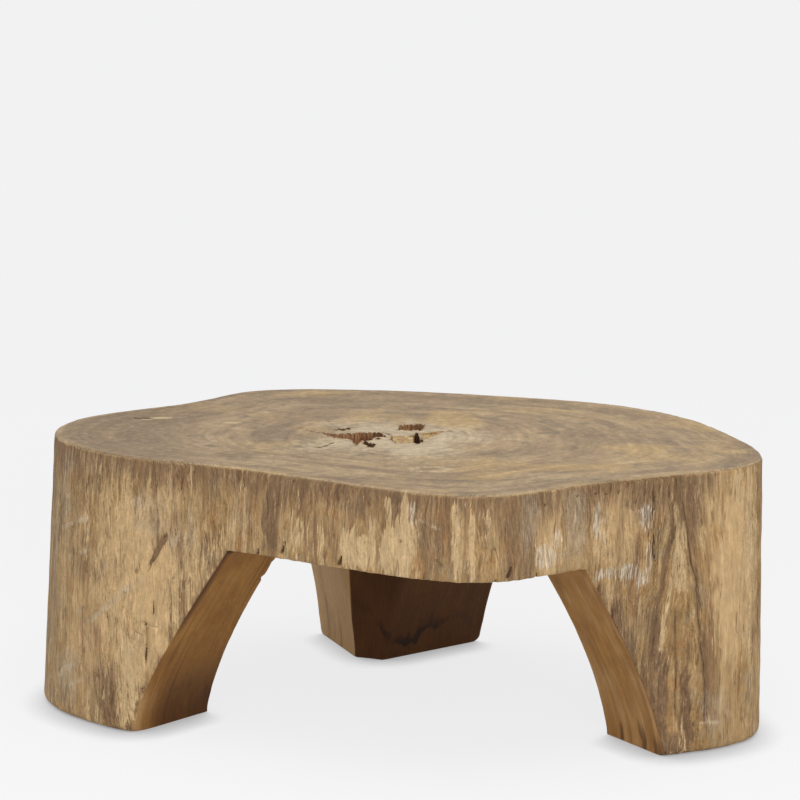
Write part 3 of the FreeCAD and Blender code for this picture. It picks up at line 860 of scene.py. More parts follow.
for step in (
    ("gold", "#CFB083", strand, 1.2, 0.2, 0.8, 0.8),
    ("brown", "#7A5F46", fibre, 1.8, 0.2, 0.8, 0.85),
    ("pale", "#CDB187", frayed, 3.0, 0.35, 0.65, 0.9),
    ("grey", "#AEA08C", fine, 1.4, 0.1, 0.9, 0.65),
    ("chalk", "#C6B498", fine, 1.6, 0.0, 1.0, 0.65),
    ("lichen", "#D2CABE", fine, 4.0, 0.5, 1.4, 0.8),
):
    colour = stained(tree, colour, *step)

# %% Weathered debarked side, its texture
# Fibres, specks and dark ticks make it rough to the eye. Where it is polished or happens to be calm
# the roughness fades back to the even colour. Hairline checks, cracks and holes come last, on top.
scale = grain(tree, 8, 26, 4.0)
speck = grain(tree, 2.2, 4.4, 3.0)
even = shaded(tree, colour, scale, 0.81, 1.155)
colour = even
for step in ((fibre, 0.86, 1.13), (fine, 0.66, 1.32), (speck, 0.77, 1.19)):
    colour = shaded(tree, colour, *step)
tick = add(tree, "ShaderNodeMath", {0: fine, 1: speck}, operation="ADD").outputs[0]
colour = tinted(tree, colour, tick, 0.84, 0.65, "#5E442C")
polished = add(tree, "ShaderNodeAttribute", attribute_name="polished").outputs["Fac"]
calm = add(tree, "ShaderNodeMapRange", {
    "Value": grain(tree, 34, 80, 3.0), "From Min": 0.45, "From Max": 0.8,
}, interpolation_type="SMOOTHSTEP").outputs[0]
quiet = add(tree, "ShaderNodeMath", {0: calm, 1: polished}, operation="MAXIMUM").outputs[0]
colour = add(tree, "ShaderNodeMix", {0: quiet, 6: colour, 7: even}, data_type="RGBA").outputs[2]
check = add(tree, "ShaderNodeMath", {0: grain(tree, 10, 150, 2.0), 1: 0.5}, operation="SUBTRACT").outputs[0]
beside = add(tree, "ShaderNodeMath", {0: check}, operation="ABSOLUTE").outputs[0]
dry = add(tree, "ShaderNodeMapRange", {
    "Value": grain(tree, 26, 50, 2.0), "From Min": 0.5, "From Max": 0.6, "To Max": 0.55,
}, interpolation_type="SMOOTHSTEP").outputs[0]
colour = tinted(tree, colour, beside, 0.03, 0.006, "#553C26", dry)
colour = cracked(tree, colour, fibre, "#4D3722")
colour = stained(tree, colour, "dark", "#4A3220", fine, 1.0, 0.3, 0.7, 0.85)
standing = add(tree, "ShaderNodeMath", {0: 1.0, 1: polished}, operation="SUBTRACT").outputs[0]
surface(side_wood, colour, 0.78, ((scale, 2.2), (fibre, 1.8), (fine, 1.2), (speck, 0.7)), strength=standing)

# %% Sawn and worn top
# End grain that was sawn, scraped and then used for years. It has no shine; the rings are faint,
# grey where hands and water wore them, yellower where the wood is dense. Rings are 2 to 4 mm apart
# on the tree and are drawn about 6 mm apart, so that they show.
top_wood, tree = wood("sawn_worn_end_grain")
ring = rings(tree, 6.0, 110, 4.0)
band = rings(tree, 30.0, 160, 4.0)
pore = grain(tree, 2.6, 2.6, 3.0)
cloud = grain(tree, 120, 120, 3.0)
smear = grain(tree, 40, 40, 4.0)
rub = grain(tree, 12, 12, 4.0)
colour = linear("#836E55")
for step in ((band, 0.34, 0.66, "#A68F6E"), (cloud, 0.5, 0.7, "#A68D66"), (smear, 0.46, 0.32, "#87765D")):
    colour = tinted(tree, colour, *step)
for step in (
    ("dusk", "#79654D", smear, 1.4, 0.2, 0.8, 0.7),
    ("gold", "#B09464", band, 1.6, 0.2, 0.8, 0.65),
    ("silver", "#B9A98E", rub, 1.4, -0.1, 1.1, 0.9),
):
    colour = stained(tree, colour, *step)
for step in ((smear, 0.9, 1.1), (rub, 0.86, 1.13), (ring, 0.81, 1.18), (pore, 0.81, 1.17)):
    colour = shaded(tree, colour, *step)
colour = stained(tree, colour, "pale", "#CDB68F", pore, 1.4, 0.2, 0.8, 0.7)
colour = stained(tree, colour, "crack", "#4F3A28", pore, 0.8, 0.3, 0.7, 0.9)
surface(top_wood, colour, 0.62, ((ring, 0.5), (rub, 0.6), (pore, 0.3)))

# %% Carved flank
# Long grain opened by an axe and smoothed with a drawknife: warmer and evener than the weathered
# side, with the rings running down it as streaks, and darker towards the floor.
flank_wood, tree = wood("carved_long_grain")
fine = grain(tree, 2.0, 32, 4.0)
streak = rings(tree, 9.0, 260, 4.0)
vein = rings(tree, 3.0, 130, 3.0)
cloud = grain(tree, 50, 110)
colour = linear("#8B602F")
for step in (
    (cloud, 0.35, 0.65, "#A1763F"), (streak, 0.5, 0.8, "#7A5228"), (streak, 0.46, 0.25, "#AA8049"),
):
    colour = tinted(tree, colour, *step)
for step in (
    ("gold", "#D2AE7E", streak, 0.8, 0.2, 0.8, 0.9),
    ("pale", "#DCBC8A", streak, 0.4, 0.2, 0.8, 0.9),
    ("brown", "#4A2A14", cloud, 0.8, 0.1, 0.9, 0.9),
):
    colour = stained(tree, colour, *step)
for step in ((vein, 0.92, 1.08), (fine, 0.86, 1.13)):
    colour = shaded(tree, colour, *step)
colour = stained(tree, colour, "dark", "#1A0D07", cloud, 1.2, 0.15, 0.85, 0.85)
colour = cracked(tree, colour, fine, "#2B1A0E")
surface(flank_wood, colour, 0.65, ((streak, 0.8), (vein, 0.5), (fine, 0.4)), 0.2)

# %% Torn heart
# Rotten heartwood breaks along its fibres. Deep, shaded and red-brown, with near-black gaps.
heart_wood, tree = wood("torn_heart_fibres")
fine = grain(tree, 2.0, 18)
thread = grain(tree, 9.0, 30, 3.0)
colour = linear("#85573A")
for step in ((thread, 0.38, 0.62, "#B3885F"), (fine, 0.5, 0.66, "#C9A77C"), (fine, 0.46, 0.34, "#3A2315")):
    colour = tinted(tree, colour, *step)
colour = stained(tree, colour, "dark", "#2E1C11", fine, 2.6, 0.1, 0.8, 0.9)
surface(heart_wood, colour, 0.8, ((thread, 1.5), (fine, 1.2)))

# %% Pale and red heartwood, dowels
# The loose pieces in the heart are split, not cut: the block is pale and crumbly, the splinters are
# red and stringy. The dowels are turned, plain and closer grained.
pale_wood, tree = wood("split_pale_heartwood")
fine = grain(tree, 2.2, 30)
cloud = grain(tree, 14, 30, 2.0)
crumb = grain(tree, 8, 8, 4.0)
colour = linear("#A3845A")
for step in (
    (cloud, 0.35, 0.65, "#BFA577"), (fine, 0.46, 0.34, "#7A5A38"),
    (crumb, 0.54, 0.64, "#8E6E44"), (crumb, 0.46, 0.36, "#CDB995"),
):
    colour = tinted(tree, colour, *step)
surface(pale_wood, colour, 0.75, ((cloud, 1.0), (fine, 0.8)))

red_wood, tree = wood("split_red_heartwood")
fine = grain(tree, 1.8, 40)
thread = grain(tree, 5.0, 60, 2.0)
colour = tinted(tree, linear("#7E4A2B"), thread, 0.35, 0.65, "#AA6D45")
colour = tinted(tree, colour, fine, 0.46, 0.34, "#3A2012")
surface(red_wood, colour, 0.75, ((thread, 1.0), (fine, 0.8)))

dowel_wood, tree = wood("turned_close_grained_dowel")
fine = grain(tree, 1.2, 60)
thread = grain(tree, 4.0, 120, 2.0)
colour = tinted(tree, linear("#B08C5C"), thread, 0.35, 0.65, "#C4A272")
colour = tinted(tree, colour, fine, 0.45, 0.35, "#94714A")
surface(dowel_wood, colour, 0.55, ((fine, 0.15),))

# %% [markdown]
# ## Legs
# Each leg is a piece of the trunk's wall left standing between two arches. Its section has four
# corners: the outside between two of them is bark side, the rest is carved. Every section is divided
# into the same number of columns, corner to corner, so that the arrises stay crisp when the sections
# are lofted from the floor to the slab.

# %% Corners of a leg
# a point within each leg, x and y in mm, from which its whole section can be seen
CORES = {"left_leg": (-390, -12), "right_leg": (410, -107), "rear_leg": (-17, 277)}
SHARP = math.radians(28)


def sharp_edges(node):
    """Edges of a leg that turn sharply and climb: the arrises between its faces."""
    shape = bmesh.new()
    shape.from_mesh(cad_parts[node].data)
    bmesh.ops.remove_doubles(shape, verts=shape.verts, dist=1e-6)
    found = [
        (edge.verts[0].co[:], edge.verts[1].co[:]) for edge in shape.edges
        if edge.calc_face_angle(0) > SHARP and abs(edge.verts[0].co.z - edge.verts[1].co.z) > 1e-5
    ]
    shape.free()
    return np.array(found)


def corners_at(edges, height):
    """Where the arrises pass a height."""
    a, b = edges[:, 0], edges[:, 1]
    crossing = (a[:, 2] - height) * (b[:, 2] - height) < 0
    a, b = a[crossing], b[crossing]
    return (a + (b - a) * ((height - a[:, 2]) / (b[:, 2] - a[:, 2]))[:, None])[:, :2]


def spread(points, count):
    """A line of points divided into equal steps, its last point left out."""
    reach = np.concatenate([[0], np.cumsum(np.linalg.norm(np.diff(points, axis=0), axis=1))])
    wanted = np.linspace(0, reach[-1], count + 1)[:-1]
    return np.stack([np.interp(wanted, reach, points[:, axis]) for axis in (0, 1)], axis=1)


print("corners of each foot:", [len(corners_at(sharp_edges(node), 1 * MM)) for node in NAMES])

# %% Sections of a leg
# the foot has closer rows; the lowest and highest sections are read a little inside the solid
FOOT_ROWS = (0, 0.6, 1.6, 3, 5, 7.5, 10.5)
heights = np.concatenate([FOOT_ROWS, np.linspace(13, SLAB_Z / MM, 103)]) * MM
LOWEST, HIGHEST = 0.4 * MM, SLAB_Z - 2.5 * MM
rays = np.linspace(-math.pi, math.pi, 541)[:-1]
# columns on the bark side and on the three carved faces, counter-clockwise from above
COUNTS = (200, 52, 64, 52)
FACE = np.repeat(range(4), COUNTS)
COLUMN = np.arange(len(FACE))
ARRIS = np.cumsum(COUNTS) - COUNTS
EDGE = np.concatenate([np.minimum(np.arange(n), n - np.arange(n)) for n in COUNTS])
BARK = FACE == 0


def turn_of(points, core):
    """Angle of points seen from the core."""
    return np.arctan2(points[..., 1] - core[1], points[..., 0] - core[0])


def first_corners(tree, edges, core):
    """The four corners of the lowest section, beginning where the bark side begins."""
    corners = corners_at(edges, LOWEST)
    corners = corners[np.argsort(turn_of(corners, core))]
    owner = (np.searchsorted(turn_of(corners, core), rays) - 1) % 4
    reach = np.linalg.norm(section(tree, core, LOWEST, rays) - TRUNK, axis=1)
    outer = np.argmax([reach[owner == number].mean() for number in range(4)])
    return np.roll(corners, -outer, axis=0)


def face_line(ring, core, start, end):
    """The part of a section from one corner to the next."""
    first = turn_of(start, core)
    sweep = (turn_of(end, core) - first) % (2 * math.pi)
    if sweep > 1.9 * math.pi:
        sweep = 0
    part = (turn_of(ring, core) - first) % (2 * math.pi)
    chosen = (part > 0.004) & (part < sweep - 0.004)
    return np.concatenate([[start], ring[chosen][np.argsort(part[chosen])], [end]])


def leg_sections(node):
    """Rows of section points from the floor to the slab, the same columns in each."""
    tree, edges, core = skin(node), sharp_edges(node), np.array(CORES[node]) * MM
    corners = first_corners(tree, edges, core)
    rows = []
    for level in np.clip(heights, LOWEST, HIGHEST):
        found = corners_at(edges, level)
        corners = np.array([found[np.argmin(np.linalg.norm(found - old, axis=1))] for old in corners])
        ring = section(tree, core, level, rays)
        ends = zip(corners, np.roll(corners, -1, axis=0), COUNTS)
        rows.append(np.concatenate([spread(face_line(ring, core, *pair), count) for *pair, count in ends]))
    return np.array(rows)


print("each leg:", len(heights), "rows of", len(COLUMN), "columns")


# %% Shape of a leg
def loft_leg(node):
    """A leg's skin as the CAD has it; x and y are views, so they follow when the points are moved."""
    z = np.repeat(heights[:, None], len(COLUMN), axis=1)
    points = np.concatenate([leg_sections(node), z[:, :, None]], axis=2)
    around = np.roll(points, -1, axis=1) - np.roll(points, 1, axis=1)
    normal = np.cross(around, np.gradient(points, axis=0))
    normal /= np.linalg.norm(normal, axis=2, keepdims=True) + 1e-12
    ends = ramp(0, 12 * MM, z) * ramp(SLAB_Z, SLAB_Z - 12 * MM, z)
    return SimpleNamespace(node=node, points=points, x=points[:, :, 0], y=points[:, :, 1], z=z,
                           normal=normal, ends=ends)


def wear_side(leg):
    """Sinks the bark side by its marks, and keeps their stains off the carved faces."""
    worn, leg.stain = side_marks(leg.x, leg.y, leg.z)
    past_arris = np.minimum(np.maximum(COLUMN - ARRIS[1], 0), len(COLUMN) - COLUMN) * ~BARK
    out = facing(along(leg.x, leg.y))
    leg.points[:, :, :2] -= out * (worn * ramp(6, 0, past_arris))[:, :, None]
    for name in leg.stain:
        if not name.startswith("lean"):
            leg.stain[name] = np.where(BARK, leg.stain[name], NO_CRACK if name == "rift_at" else 0.0)


def shave_flanks(leg):
    """Drawknife marks on the carved faces, none at their edges and ends."""
    hand = streaks(leg.x, leg.y, leg.z, 38, 26, 51) + 0.5 * streaks(leg.x, leg.y, leg.z, 14, 60, 52)
    shave = 0.7 * MM * (1.2 + hand) * ~BARK * ramp(0, 4, EDGE) * leg.ends
    leg.points -= leg.normal * shave[:, :, None]


# %% Arrises of a leg
# the arris of each front leg that stays crisp: the one between its flank and its inner face
CRISP = {"left_leg": ARRIS[2], "right_leg": ARRIS[3]}
SMOOTHINGS = 100


def wear_arrises(leg):
    """Takes a little off every arris, and chips off the inner arris of the left leg."""
    chips = ramp(0.1, 0.8, noise(leg.z / (8 * MM), 0.5, 0, 61)) * ramp(120 * MM, 170 * MM, leg.z)
    chips = chips * (np.abs(COLUMN - ARRIS[2]) < 8) * (leg.node == "left_leg")
    wear = 0.25 + 0.25 * noise(leg.z / (14 * MM), FACE, 0, 62) + 3.4 * chips
    inward = leg.points.mean(axis=1, keepdims=True) - leg.points
    inward[:, :, 2] = 0
    inward /= np.linalg.norm(inward, axis=2, keepdims=True)
    leg.points += inward * (wear * MM * ramp(3.5, 0, EDGE) * leg.ends)[:, :, None]


def blunt_arrises(leg):
    """Rounds the arrises, most at the floor, by smoothing every section many times."""
    blunt = 0.12 * ramp(5.5, 1, EDGE) * (0.12 + 0.88 * ramp(34 * MM, 0, leg.z))
    if leg.node in CRISP:
        blunt = blunt * np.where(np.abs(COLUMN - CRISP[leg.node]) < 8, 0.15, 1)
    else:
        blunt = np.maximum(blunt, 0.11 * ramp(14, 4, np.abs(COLUMN - ARRIS[3])))
    if leg.node == "left_leg":
        toe = ramp(20, 8, np.abs(COLUMN - ARRIS[1])) * ramp(105 * MM, 15 * MM, leg.z)
        blunt = np.maximum(blunt, 0.95 * toe)
    for turn in range(SMOOTHINGS):
        eased = 0.5 * leg.points + 0.25 * (np.roll(leg.points, 1, axis=1) + np.roll(leg.points, -1, axis=1))
        leg.points += (eased - leg.points) * blunt[:, :, None]


# %% Stains of the carved faces
# how strongly the carved faces of each leg darken towards the floor
DARKER_TOWARDS_FLOOR = {"left_leg": 0.75, "right_leg": 0.1, "rear_leg": 0.2}


def common_stains(leg):
    """Brown that deepens towards the floor, brown streaks, and brown along the edges of the bark side."""
    low = DARKER_TOWARDS_FLOOR[leg.node] * ramp(190 * MM, 0, leg.z)
    brown = 0.3 * ramp(0.2, 0.9, streaks(leg.x, leg.y, leg.z, 20, 200, 71))
    lay(leg.stain, "brown", ~BARK * (low + brown))
    rim = ramp(7, 0, EDGE) * (0.5 + 0.5 * streaks(leg.x, leg.y, leg.z, 9, 40, 75))
    lay(leg.stain, "brown", 0.7 * BARK * rim)


# %% Stains of the left leg
def left_stains(leg):
    """Painted shade: a shadow under the slab and a band along the arris; painted light: a golden toe by the
    arris.
    """
    flank, up = FACE == 1, leg.z / MM
    from_arris = COLUMN - ARRIS[1]
    # painted shadow on the flank just under the slab, laid as brown and dark
    painted_shadow_under_slab = ramp(11, 1, SLAB_Z / MM - up + 3 * noise(COLUMN / 4.0, 0, 0, 84)) * ramp(44, 20, from_arris)
    # painted shade along the upper arris of the flank, where it turns from the light, laid as brown
    turned = 0.8 * ramp(9, 1, from_arris) * ramp(110, 200, up)
    # painted light on the flank by the rounded arris near the floor, laid as gold; it also thins the brown
    # there
    rubbed = flank * ramp(25, 0, from_arris) * ramp(130, 30, up)
    lay(leg.stain, "brown", flank * np.maximum(painted_shadow_under_slab, turned))
    leg.stain["brown"] = leg.stain["brown"] * (1 - 0.6 * rubbed)
    lay(leg.stain, "dark", 0.55 * flank * painted_shadow_under_slab)
    lay(leg.stain, "gold", 0.5 * rubbed)


# %% Stains of the right leg
def right_stains(leg):
    """Golden flanks, lighter near the floor by painted light, with dirty streaks at the floor, and a flecked
    bark edge.
    """
    x, y, z = leg.x, leg.y, leg.z
    # gold tone of the flanks, plus painted light that grows towards the floor, as if lit from it
    gold = 0.3 + 0.13 * ramp(170, 60, z / MM) + 0.14 * streaks(x, y, z, 13, 150, 83)
    lay(leg.stain, "gold", ~BARK * gold)
    dirty = ramp(0.1, 0.8, streaks(x, y, z, 7, 160, 78)) * ramp(90 * MM, 5 * MM, z)
    lay(leg.stain, "brown", 0.7 * ~BARK * dirty)
    arris = ramp(20, 3, COLUMN) * ramp(SLAB_Z, SLAB_Z - 50 * MM, z)
    lay(leg.stain, "brown", BARK * arris * (0.6 + 0.4 * streaks(x, y, z, 7, 50, 77)))
    flecks = ramp(0.25, 0.8, streaks(x, y, z, 5, 36, 79)) * ramp(13, 1, COLUMN)
    lay(leg.stain, "dark", 0.75 * BARK * flecks)


# %% Stains of the rear leg
# the edge of an old damp stain inside it: x and height in mm, and strength
TIDE_LINE = (
    (-80, 90, 0.3), (-66, 78, 0.5), (-51, 75, 0.5), (-40, 66, 0.3), (-34, 52, 0.3), (-19, 33, 0.8),
    (3, 20, 1.0), (26, 24, 1.0), (41, 37, 0.9), (61, 45, 0.7), (85, 49, 0.55), (101, 46, 0.4),
    (112, 20, 0.5), (130, 9, 0.3),
)


def rear_stains(leg):
    """Inner faces painted brown, a stain and painted shade under the slab, with a tide line; painted light
    on the flank.
    """
    x, z = leg.x, leg.z
    tide_x, tide_up, tide_power = np.array(TIDE_LINE).T
    tide = np.interp(x / MM, tide_x, tide_up) + 6 * noise(x / (9 * MM), 0, 0, 73)
    above = z / MM - tide + 6 * noise(x / (5 * MM), z / (9 * MM), 0, 76)
    line = np.where(above < 0, ramp(-8, 0, above), ramp(30, 0, above))
    faint = 0.78 + 0.25 * noise(x / (14 * MM), z / (24 * MM), 0, 74)
    line *= np.interp(x / MM, tide_x, tide_power) * faint
    # painted light: a strip of the inner face beside the flank is painted pale, so the lit flank looks wider
    painted_light_sliver = (FACE == 2) * ramp(-66 * MM, -72 * MM, x + 0.05 * z)
    lit = np.maximum(FACE == 1, painted_light_sliver)
    # painted shade: the inner faces under the slab are painted brown, partly a real stain, a little lighter
    # higher up
    shaded_inner_faces = (FACE > 1) * (1 - painted_light_sliver)
    damp_and_painted_shade = 0.88 + 0.12 * noise(x / (34 * MM), z / (70 * MM), 0, 80) - 0.12 * ramp(50, 130, z / MM)
    lay(leg.stain, "brown", shaded_inner_faces * damp_and_painted_shade)
    lay(leg.stain, "dark", shaded_inner_faces * line)
    # painted light: the flank that faces the light is painted gold
    lay(leg.stain, "gold", lit * (0.85 + 0.35 * streaks(x, leg.y, z, 11, 170, 85)))
    lay(leg.stain, "pale", painted_light_sliver)


# %% Build the legs
SIDE, FLANK, TOP, HEART, CHIP = range(5)
SOCKET_SIDES, SOCKET_PLAY, SOCKET_END = 32, 0.2 * MM, 2 * MM
FOOT_PITCH, HEAD_PITCH = 14 * MM, 16 * MM
OWN_STAINS = {"left_leg": left_stains, "right_leg": right_stains, "rear_leg": rear_stains}


def sockets(piece, dowels, up):
    """Round holes for dowels, up (1) or down (-1) from the joint; returns outlines and their numbers."""
    loops, walls = [], []
    for dowel in dowels:
        low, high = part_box(dowel)
        centre = np.array(((low + high) / 2)[:2])
        radius = (high.x - low.x) / 2 + SOCKET_PLAY
        depth = (high.z - low.z) / 2 + SOCKET_END
        turn = np.linspace(0, 2 * math.pi, SOCKET_SIDES + 1)[:-1]
        loop = centre + radius * np.stack([np.cos(turn), np.sin(turn)], axis=1)
        levels = [np.full(SOCKET_SIDES, SLAB_Z + up * t * depth) for t in (0, 0.5, 1)]
        numbers = piece.place(np.array([np.column_stack([loop, level]) for level in levels])).reshape(3, -1)
        piece.quads(numbers if up < 0 else numbers[:, ::-1], [FLANK] * SOCKET_SIDES)
        tip = piece.place([[centre[0], centre[1], SLAB_Z + up * depth]])
        for i in range(SOCKET_SIDES):
            fan = (numbers[2, i], numbers[2, (i + 1) % SOCKET_SIDES], tip[0])
            piece.faces.append(fan if up < 0 else fan[::-1])
            piece.kinds.append(FLANK)
        loops.append(loop)
        walls.append(numbers[0])
    return loops, walls


def build_leg(node):
    """One leg with its foot, its top and the sockets in it; returns the outline of the top."""
    leg = loft_leg(node)
    for step in (wear_side, shave_flanks, wear_arrises, blunt_arrises, common_stains, OWN_STAINS[node]):
        step(leg)
    piece = Piece()
    numbers = piece.place(leg.points, **leg.stain).reshape(leg.z.shape)
    piece.quads(numbers, np.where(BARK, SIDE, FLANK))
    foot, head = leg.points[0, :, :2], leg.points[-1, :, :2]
    piece.cap([foot], [numbers[0]], scatter([foot], FOOT_PITCH, 81), 0, FLANK, down=True)
    loops, walls = sockets(piece, [f"{node}_dowel_{n}" for n in (1, 2)], -1)
    inner = scatter([head] + loops, HEAD_PITCH, 82)
    piece.cap([head] + loops, [numbers[-1]] + walls, inner, SLAB_Z, FLANK)
    piece.finish(f"{node}_wood", [side_wood, flank_wood], [node])
    return head


heads = [build_leg(node) for node in NAMES]

# %% [markdown]
# ## Slab
# A disc sawn off the trunk. Its wall is lofted like the legs and takes its marks from the same places,
# so the fibres run on across the joint. Its lower edge is broken by the axe that opened the arches,
# and its upper edge has been rounded by use.

# %% Wall of the slab
COLUMNS = 1100
RIM_ROUND = 5 * MM
column_way = np.linspace(travel[0], travel[-1], COLUMNS + 1)[:-1]
column_mm = column_way / MM
column_turn = np.interp(column_way, travel, turns)
low_level, high_level = SLAB_Z + 2 * MM, TOP_Z - 8 * MM
low_ring = section(slab_skin, TRUNK, low_level, column_turn)
high_ring = section(slab_skin, TRUNK, high_level, column_turn)
rise = np.concatenate([[0, 0.8, 2.5], np.linspace(5, (TOP_Z - RIM_ROUND - SLAB_Z) / MM, 42)]) * MM + SLAB_Z
share = ((rise - low_level) / (high_level - low_level))[:, None, None]
wall = np.concatenate([low_ring + share * (high_ring - low_ring),
                       np.broadcast_to(rise[:, None, None], (len(rise), COLUMNS, 1))], axis=2)
out = np.concatenate([facing(column_mm), np.zeros((COLUMNS, 1))], axis=1)
worn, rim_stain = side_marks(wall[:, :, 0], wall[:, :, 1], wall[:, :, 2])
wall = wall - out * worn[:, :, None]
print("slab wall:", wall.shape[0], "rows of", COLUMNS, "columns")

# %% Edges of the slab
# The lower edge is broken where no leg carries on below it. The upper edge is rounded and pale in
# places, partly rubbed and partly a painted highlight, and the stains of the side fade out on it.
LOWER_CUTS = (2.6, 1.0, 0.2)
PAST_LEG = 6
bare = np.ones(COLUMNS)
for head in heads:
    ways = along(head[BARK, 0], head[BARK, 1])
    after, before = column_mm > ways[0] - PAST_LEG, column_mm < ways[-1] + PAST_LEG
    bare[after | before if ways[-1] < ways[0] else after & before] = 0
ragged_edge = bare * (1 + 0.6 * noise(column_way / (7 * MM), 0, 0, 91))
for row, cut in enumerate(LOWER_CUTS):
    wall[row] -= out * (cut * MM * ragged_edge)[:, None]

bend = np.linspace(0, math.pi / 2, 6)[1:]
rim_rows = [wall[-1] + [0, 0, RIM_ROUND * math.sin(a)] - out * RIM_ROUND * (1 - math.cos(a)) for a in bend]
wall = np.concatenate([wall, rim_rows])
for name in rim_stain:
    rim_stain[name] = np.concatenate([rim_stain[name]] + [rim_stain[name][-1:]] * len(bend))
    if name != "rift_at":
        rim_stain[name][-len(bend):] *= np.linspace(0.8, 0.2, len(bend))[:, None]
# pale along the rounded rim: partly rubbed wood, partly a painted highlight on the edge
rim_wear_and_highlight = 0.5 * ramp(-0.2, 0.8, noise(column_way / (90 * MM), 0, 0, 92))
rim_stain["pale"][-3:-1] = np.maximum(rim_stain["pale"][-3:-1], rim_wear_and_highlight)

slab = Piece()
wall_numbers = slab.place(wall, **rim_stain).reshape(wall.shape[:2])
slab.quads(wall_numbers[:-3], [SIDE] * COLUMNS)
slab.quads(wall_numbers[-4:], [TOP] * COLUMNS)
print("lower edge bare of legs:", round(100 * bare.mean()), "percent")

# %% Underside of the slab
# Hollowed with an adze between the legs, flat where they stand.
UNDER_PITCH, ADZE_DEPTH = 12 * MM, 2.2 * MM
under_loop = wall[0, :, :2]
dowels = [f"{node}_dowel_{n}" for node in NAMES for n in (1, 2)]
loops, walls = sockets(slab, dowels, 1)
inner = scatter([under_loop] + loops, UNDER_PITCH, 101)
away = np.full(len(inner), 1.0)
for head in heads:
    away = np.minimum(away, np.where(inside(inner, head), 0, gap_to(inner, head[::4])))
adze = ADZE_DEPTH * (1 + streaks(inner[:, 0], inner[:, 1], 0 * inner[:, 0], 45, 45, 102))
lift = adze * ramp(4 * MM, 26 * MM, away) * ramp(4 * MM, 30 * MM, gap_to(inner, under_loop[::8]))
slab.cap([under_loop] + loops, [wall_numbers[0]] + walls, inner, SLAB_Z + lift, FLANK,
         down=True, brown=0.45)
print("adze marks up to", round(lift.max() / MM, 1), "mm deep")

# %% [markdown]
# ## Rotten heart
# Rot has opened the middle of the top in seven ragged holes, and the wood between them broke off along
# its fibres. A hole is an outline of a few corners, torn into short steps; its wall goes straight
# down, as fibres do, with chips at the edge, and its floor is rough. Holes are cut into the top as
# geometry, since real depth gives the shadows in them from any side.

# %% Outlines of the holes in the heart
STEP, TORN = 1.7 * MM, 0.55 * MM
# depth in mm, then points in mm, clockwise
HOLLOWS = {
    "left_pit": (40, (
        (-113, 34), (-103, 29), (-90, 21), (-81, 26), (-67, 27), (-57, 31), (-47, 31), (-35, 33),
        (-26, 31), (-18, 9), (-19, 3), (-27, 1), (-33, 2), (-38, -9), (-42, -19), (-52, -21),
        (-54, -30), (-57, -41), (-60, -48), (-64, -31), (-66, -18), (-69, -12), (-81, -7), (-92, 0),
        (-103, 17),
    )),
    "front_crumbs": (15, (
        (-50, -32), (-46, -26), (-41, -31), (-32, -44), (-33, -57), (-40, -63), (-45, -51), (-50, -42),
    )),
    "small_crumb": (8, ((-33, -8), (-29, -4), (-25, -8), (-29, -15))),
    "block_pit": (43, (
        (-10, 12), (0, 8.5), (11, 12.5), (23.5, 11), (25.5, 31), (28, 31), (29.5, 13), (32, -10),
        (36, -21), (35, -31), (31, -36), (22, -33.5), (10, -37), (-2.5, -35), (-10, -16.5),
    )),
    "right_flake": (3, (
        (32, 27), (40, 27), (49, 32), (61, 43), (67, 44), (57, 20), (48, 5), (40, -8), (36, -9),
        (33.5, 8),
    )),
    "rear_pit": (28, (
        (1, 80), (8, 85), (14, 81), (21, 86), (31, 87), (39, 87), (37, 66), (34, 50), (20, 47), (8, 48),
        (1, 54),
    )),
    "rear_crumb": (9, (
        (-94, 53), (-87, 58), (-80, 56), (-75, 63), (-69, 65), (-71, 54), (-79, 48), (-88, 50),
    )),
}


def ragged(corners, seed):
    """A closed outline in metres, counter-clockwise, in short steps with torn corners."""
    line = np.array(corners[::-1] + corners[-1:], float) * MM
    length = np.linalg.norm(np.diff(line, axis=0), axis=1).sum()
    even = spread(line, int(length / STEP))
    shift = np.stack([noise(np.arange(len(even)) / 1.6, axis, 0, seed) for axis in (0, 1)], axis=1)
    return even + TORN * shift


hollow_loops = [ragged(corners, 111 + index) for index, (depth, corners) in enumerate(HOLLOWS.values())]
print("points round the holes:", [len(loop) for loop in hollow_loops])

# %% Stains of the top
# A worn silver ring about the heart, yellow dense wood behind it to the right, brown bruises, a knot
# near the front with a pale ring beside it, pale chips on the left. Places and half sizes in mm.
BRUISE = (98, 64, 24, 14)
KNOT = (37, -188, 10, 7)
KNOT_RING = (44, -196, 26, 14)
PALE_CHIPS = ((-244, 101, 14, 6), (-352, 138, 18, 8), (-374, 129, 9, 6))
YELLOW = (84, 118)
# x and y of both ends and width of each crack
TOP_CRACKS = (
    (-144, 69, -128, 49, 0.7), (-128, 49, -111, 33, 1.2), (-21, 38, -15, 31, 2.4),
    (-15, 31, -11, 22, 2.0), (-114, -61, -104, -48, 2.4), (-104, -48, -93, -27, 1.8),
    (-40, -96, -34, -92, 2.0), (62, 44, 77, 46, 2.6), (-73, 68, -62, 71, 2.4),
    (-200, 92, -144, 69, 1.0), (-31, -46, -19, -45, 1.2), (-391, 138, -371, 136, 4.6),
)


def oval(x, y, spot):
    """Distance from the middle of an oval spot, 1 on its edge."""
    return np.hypot((x - spot[0]) / spot[2], (y - spot[1]) / spot[3])


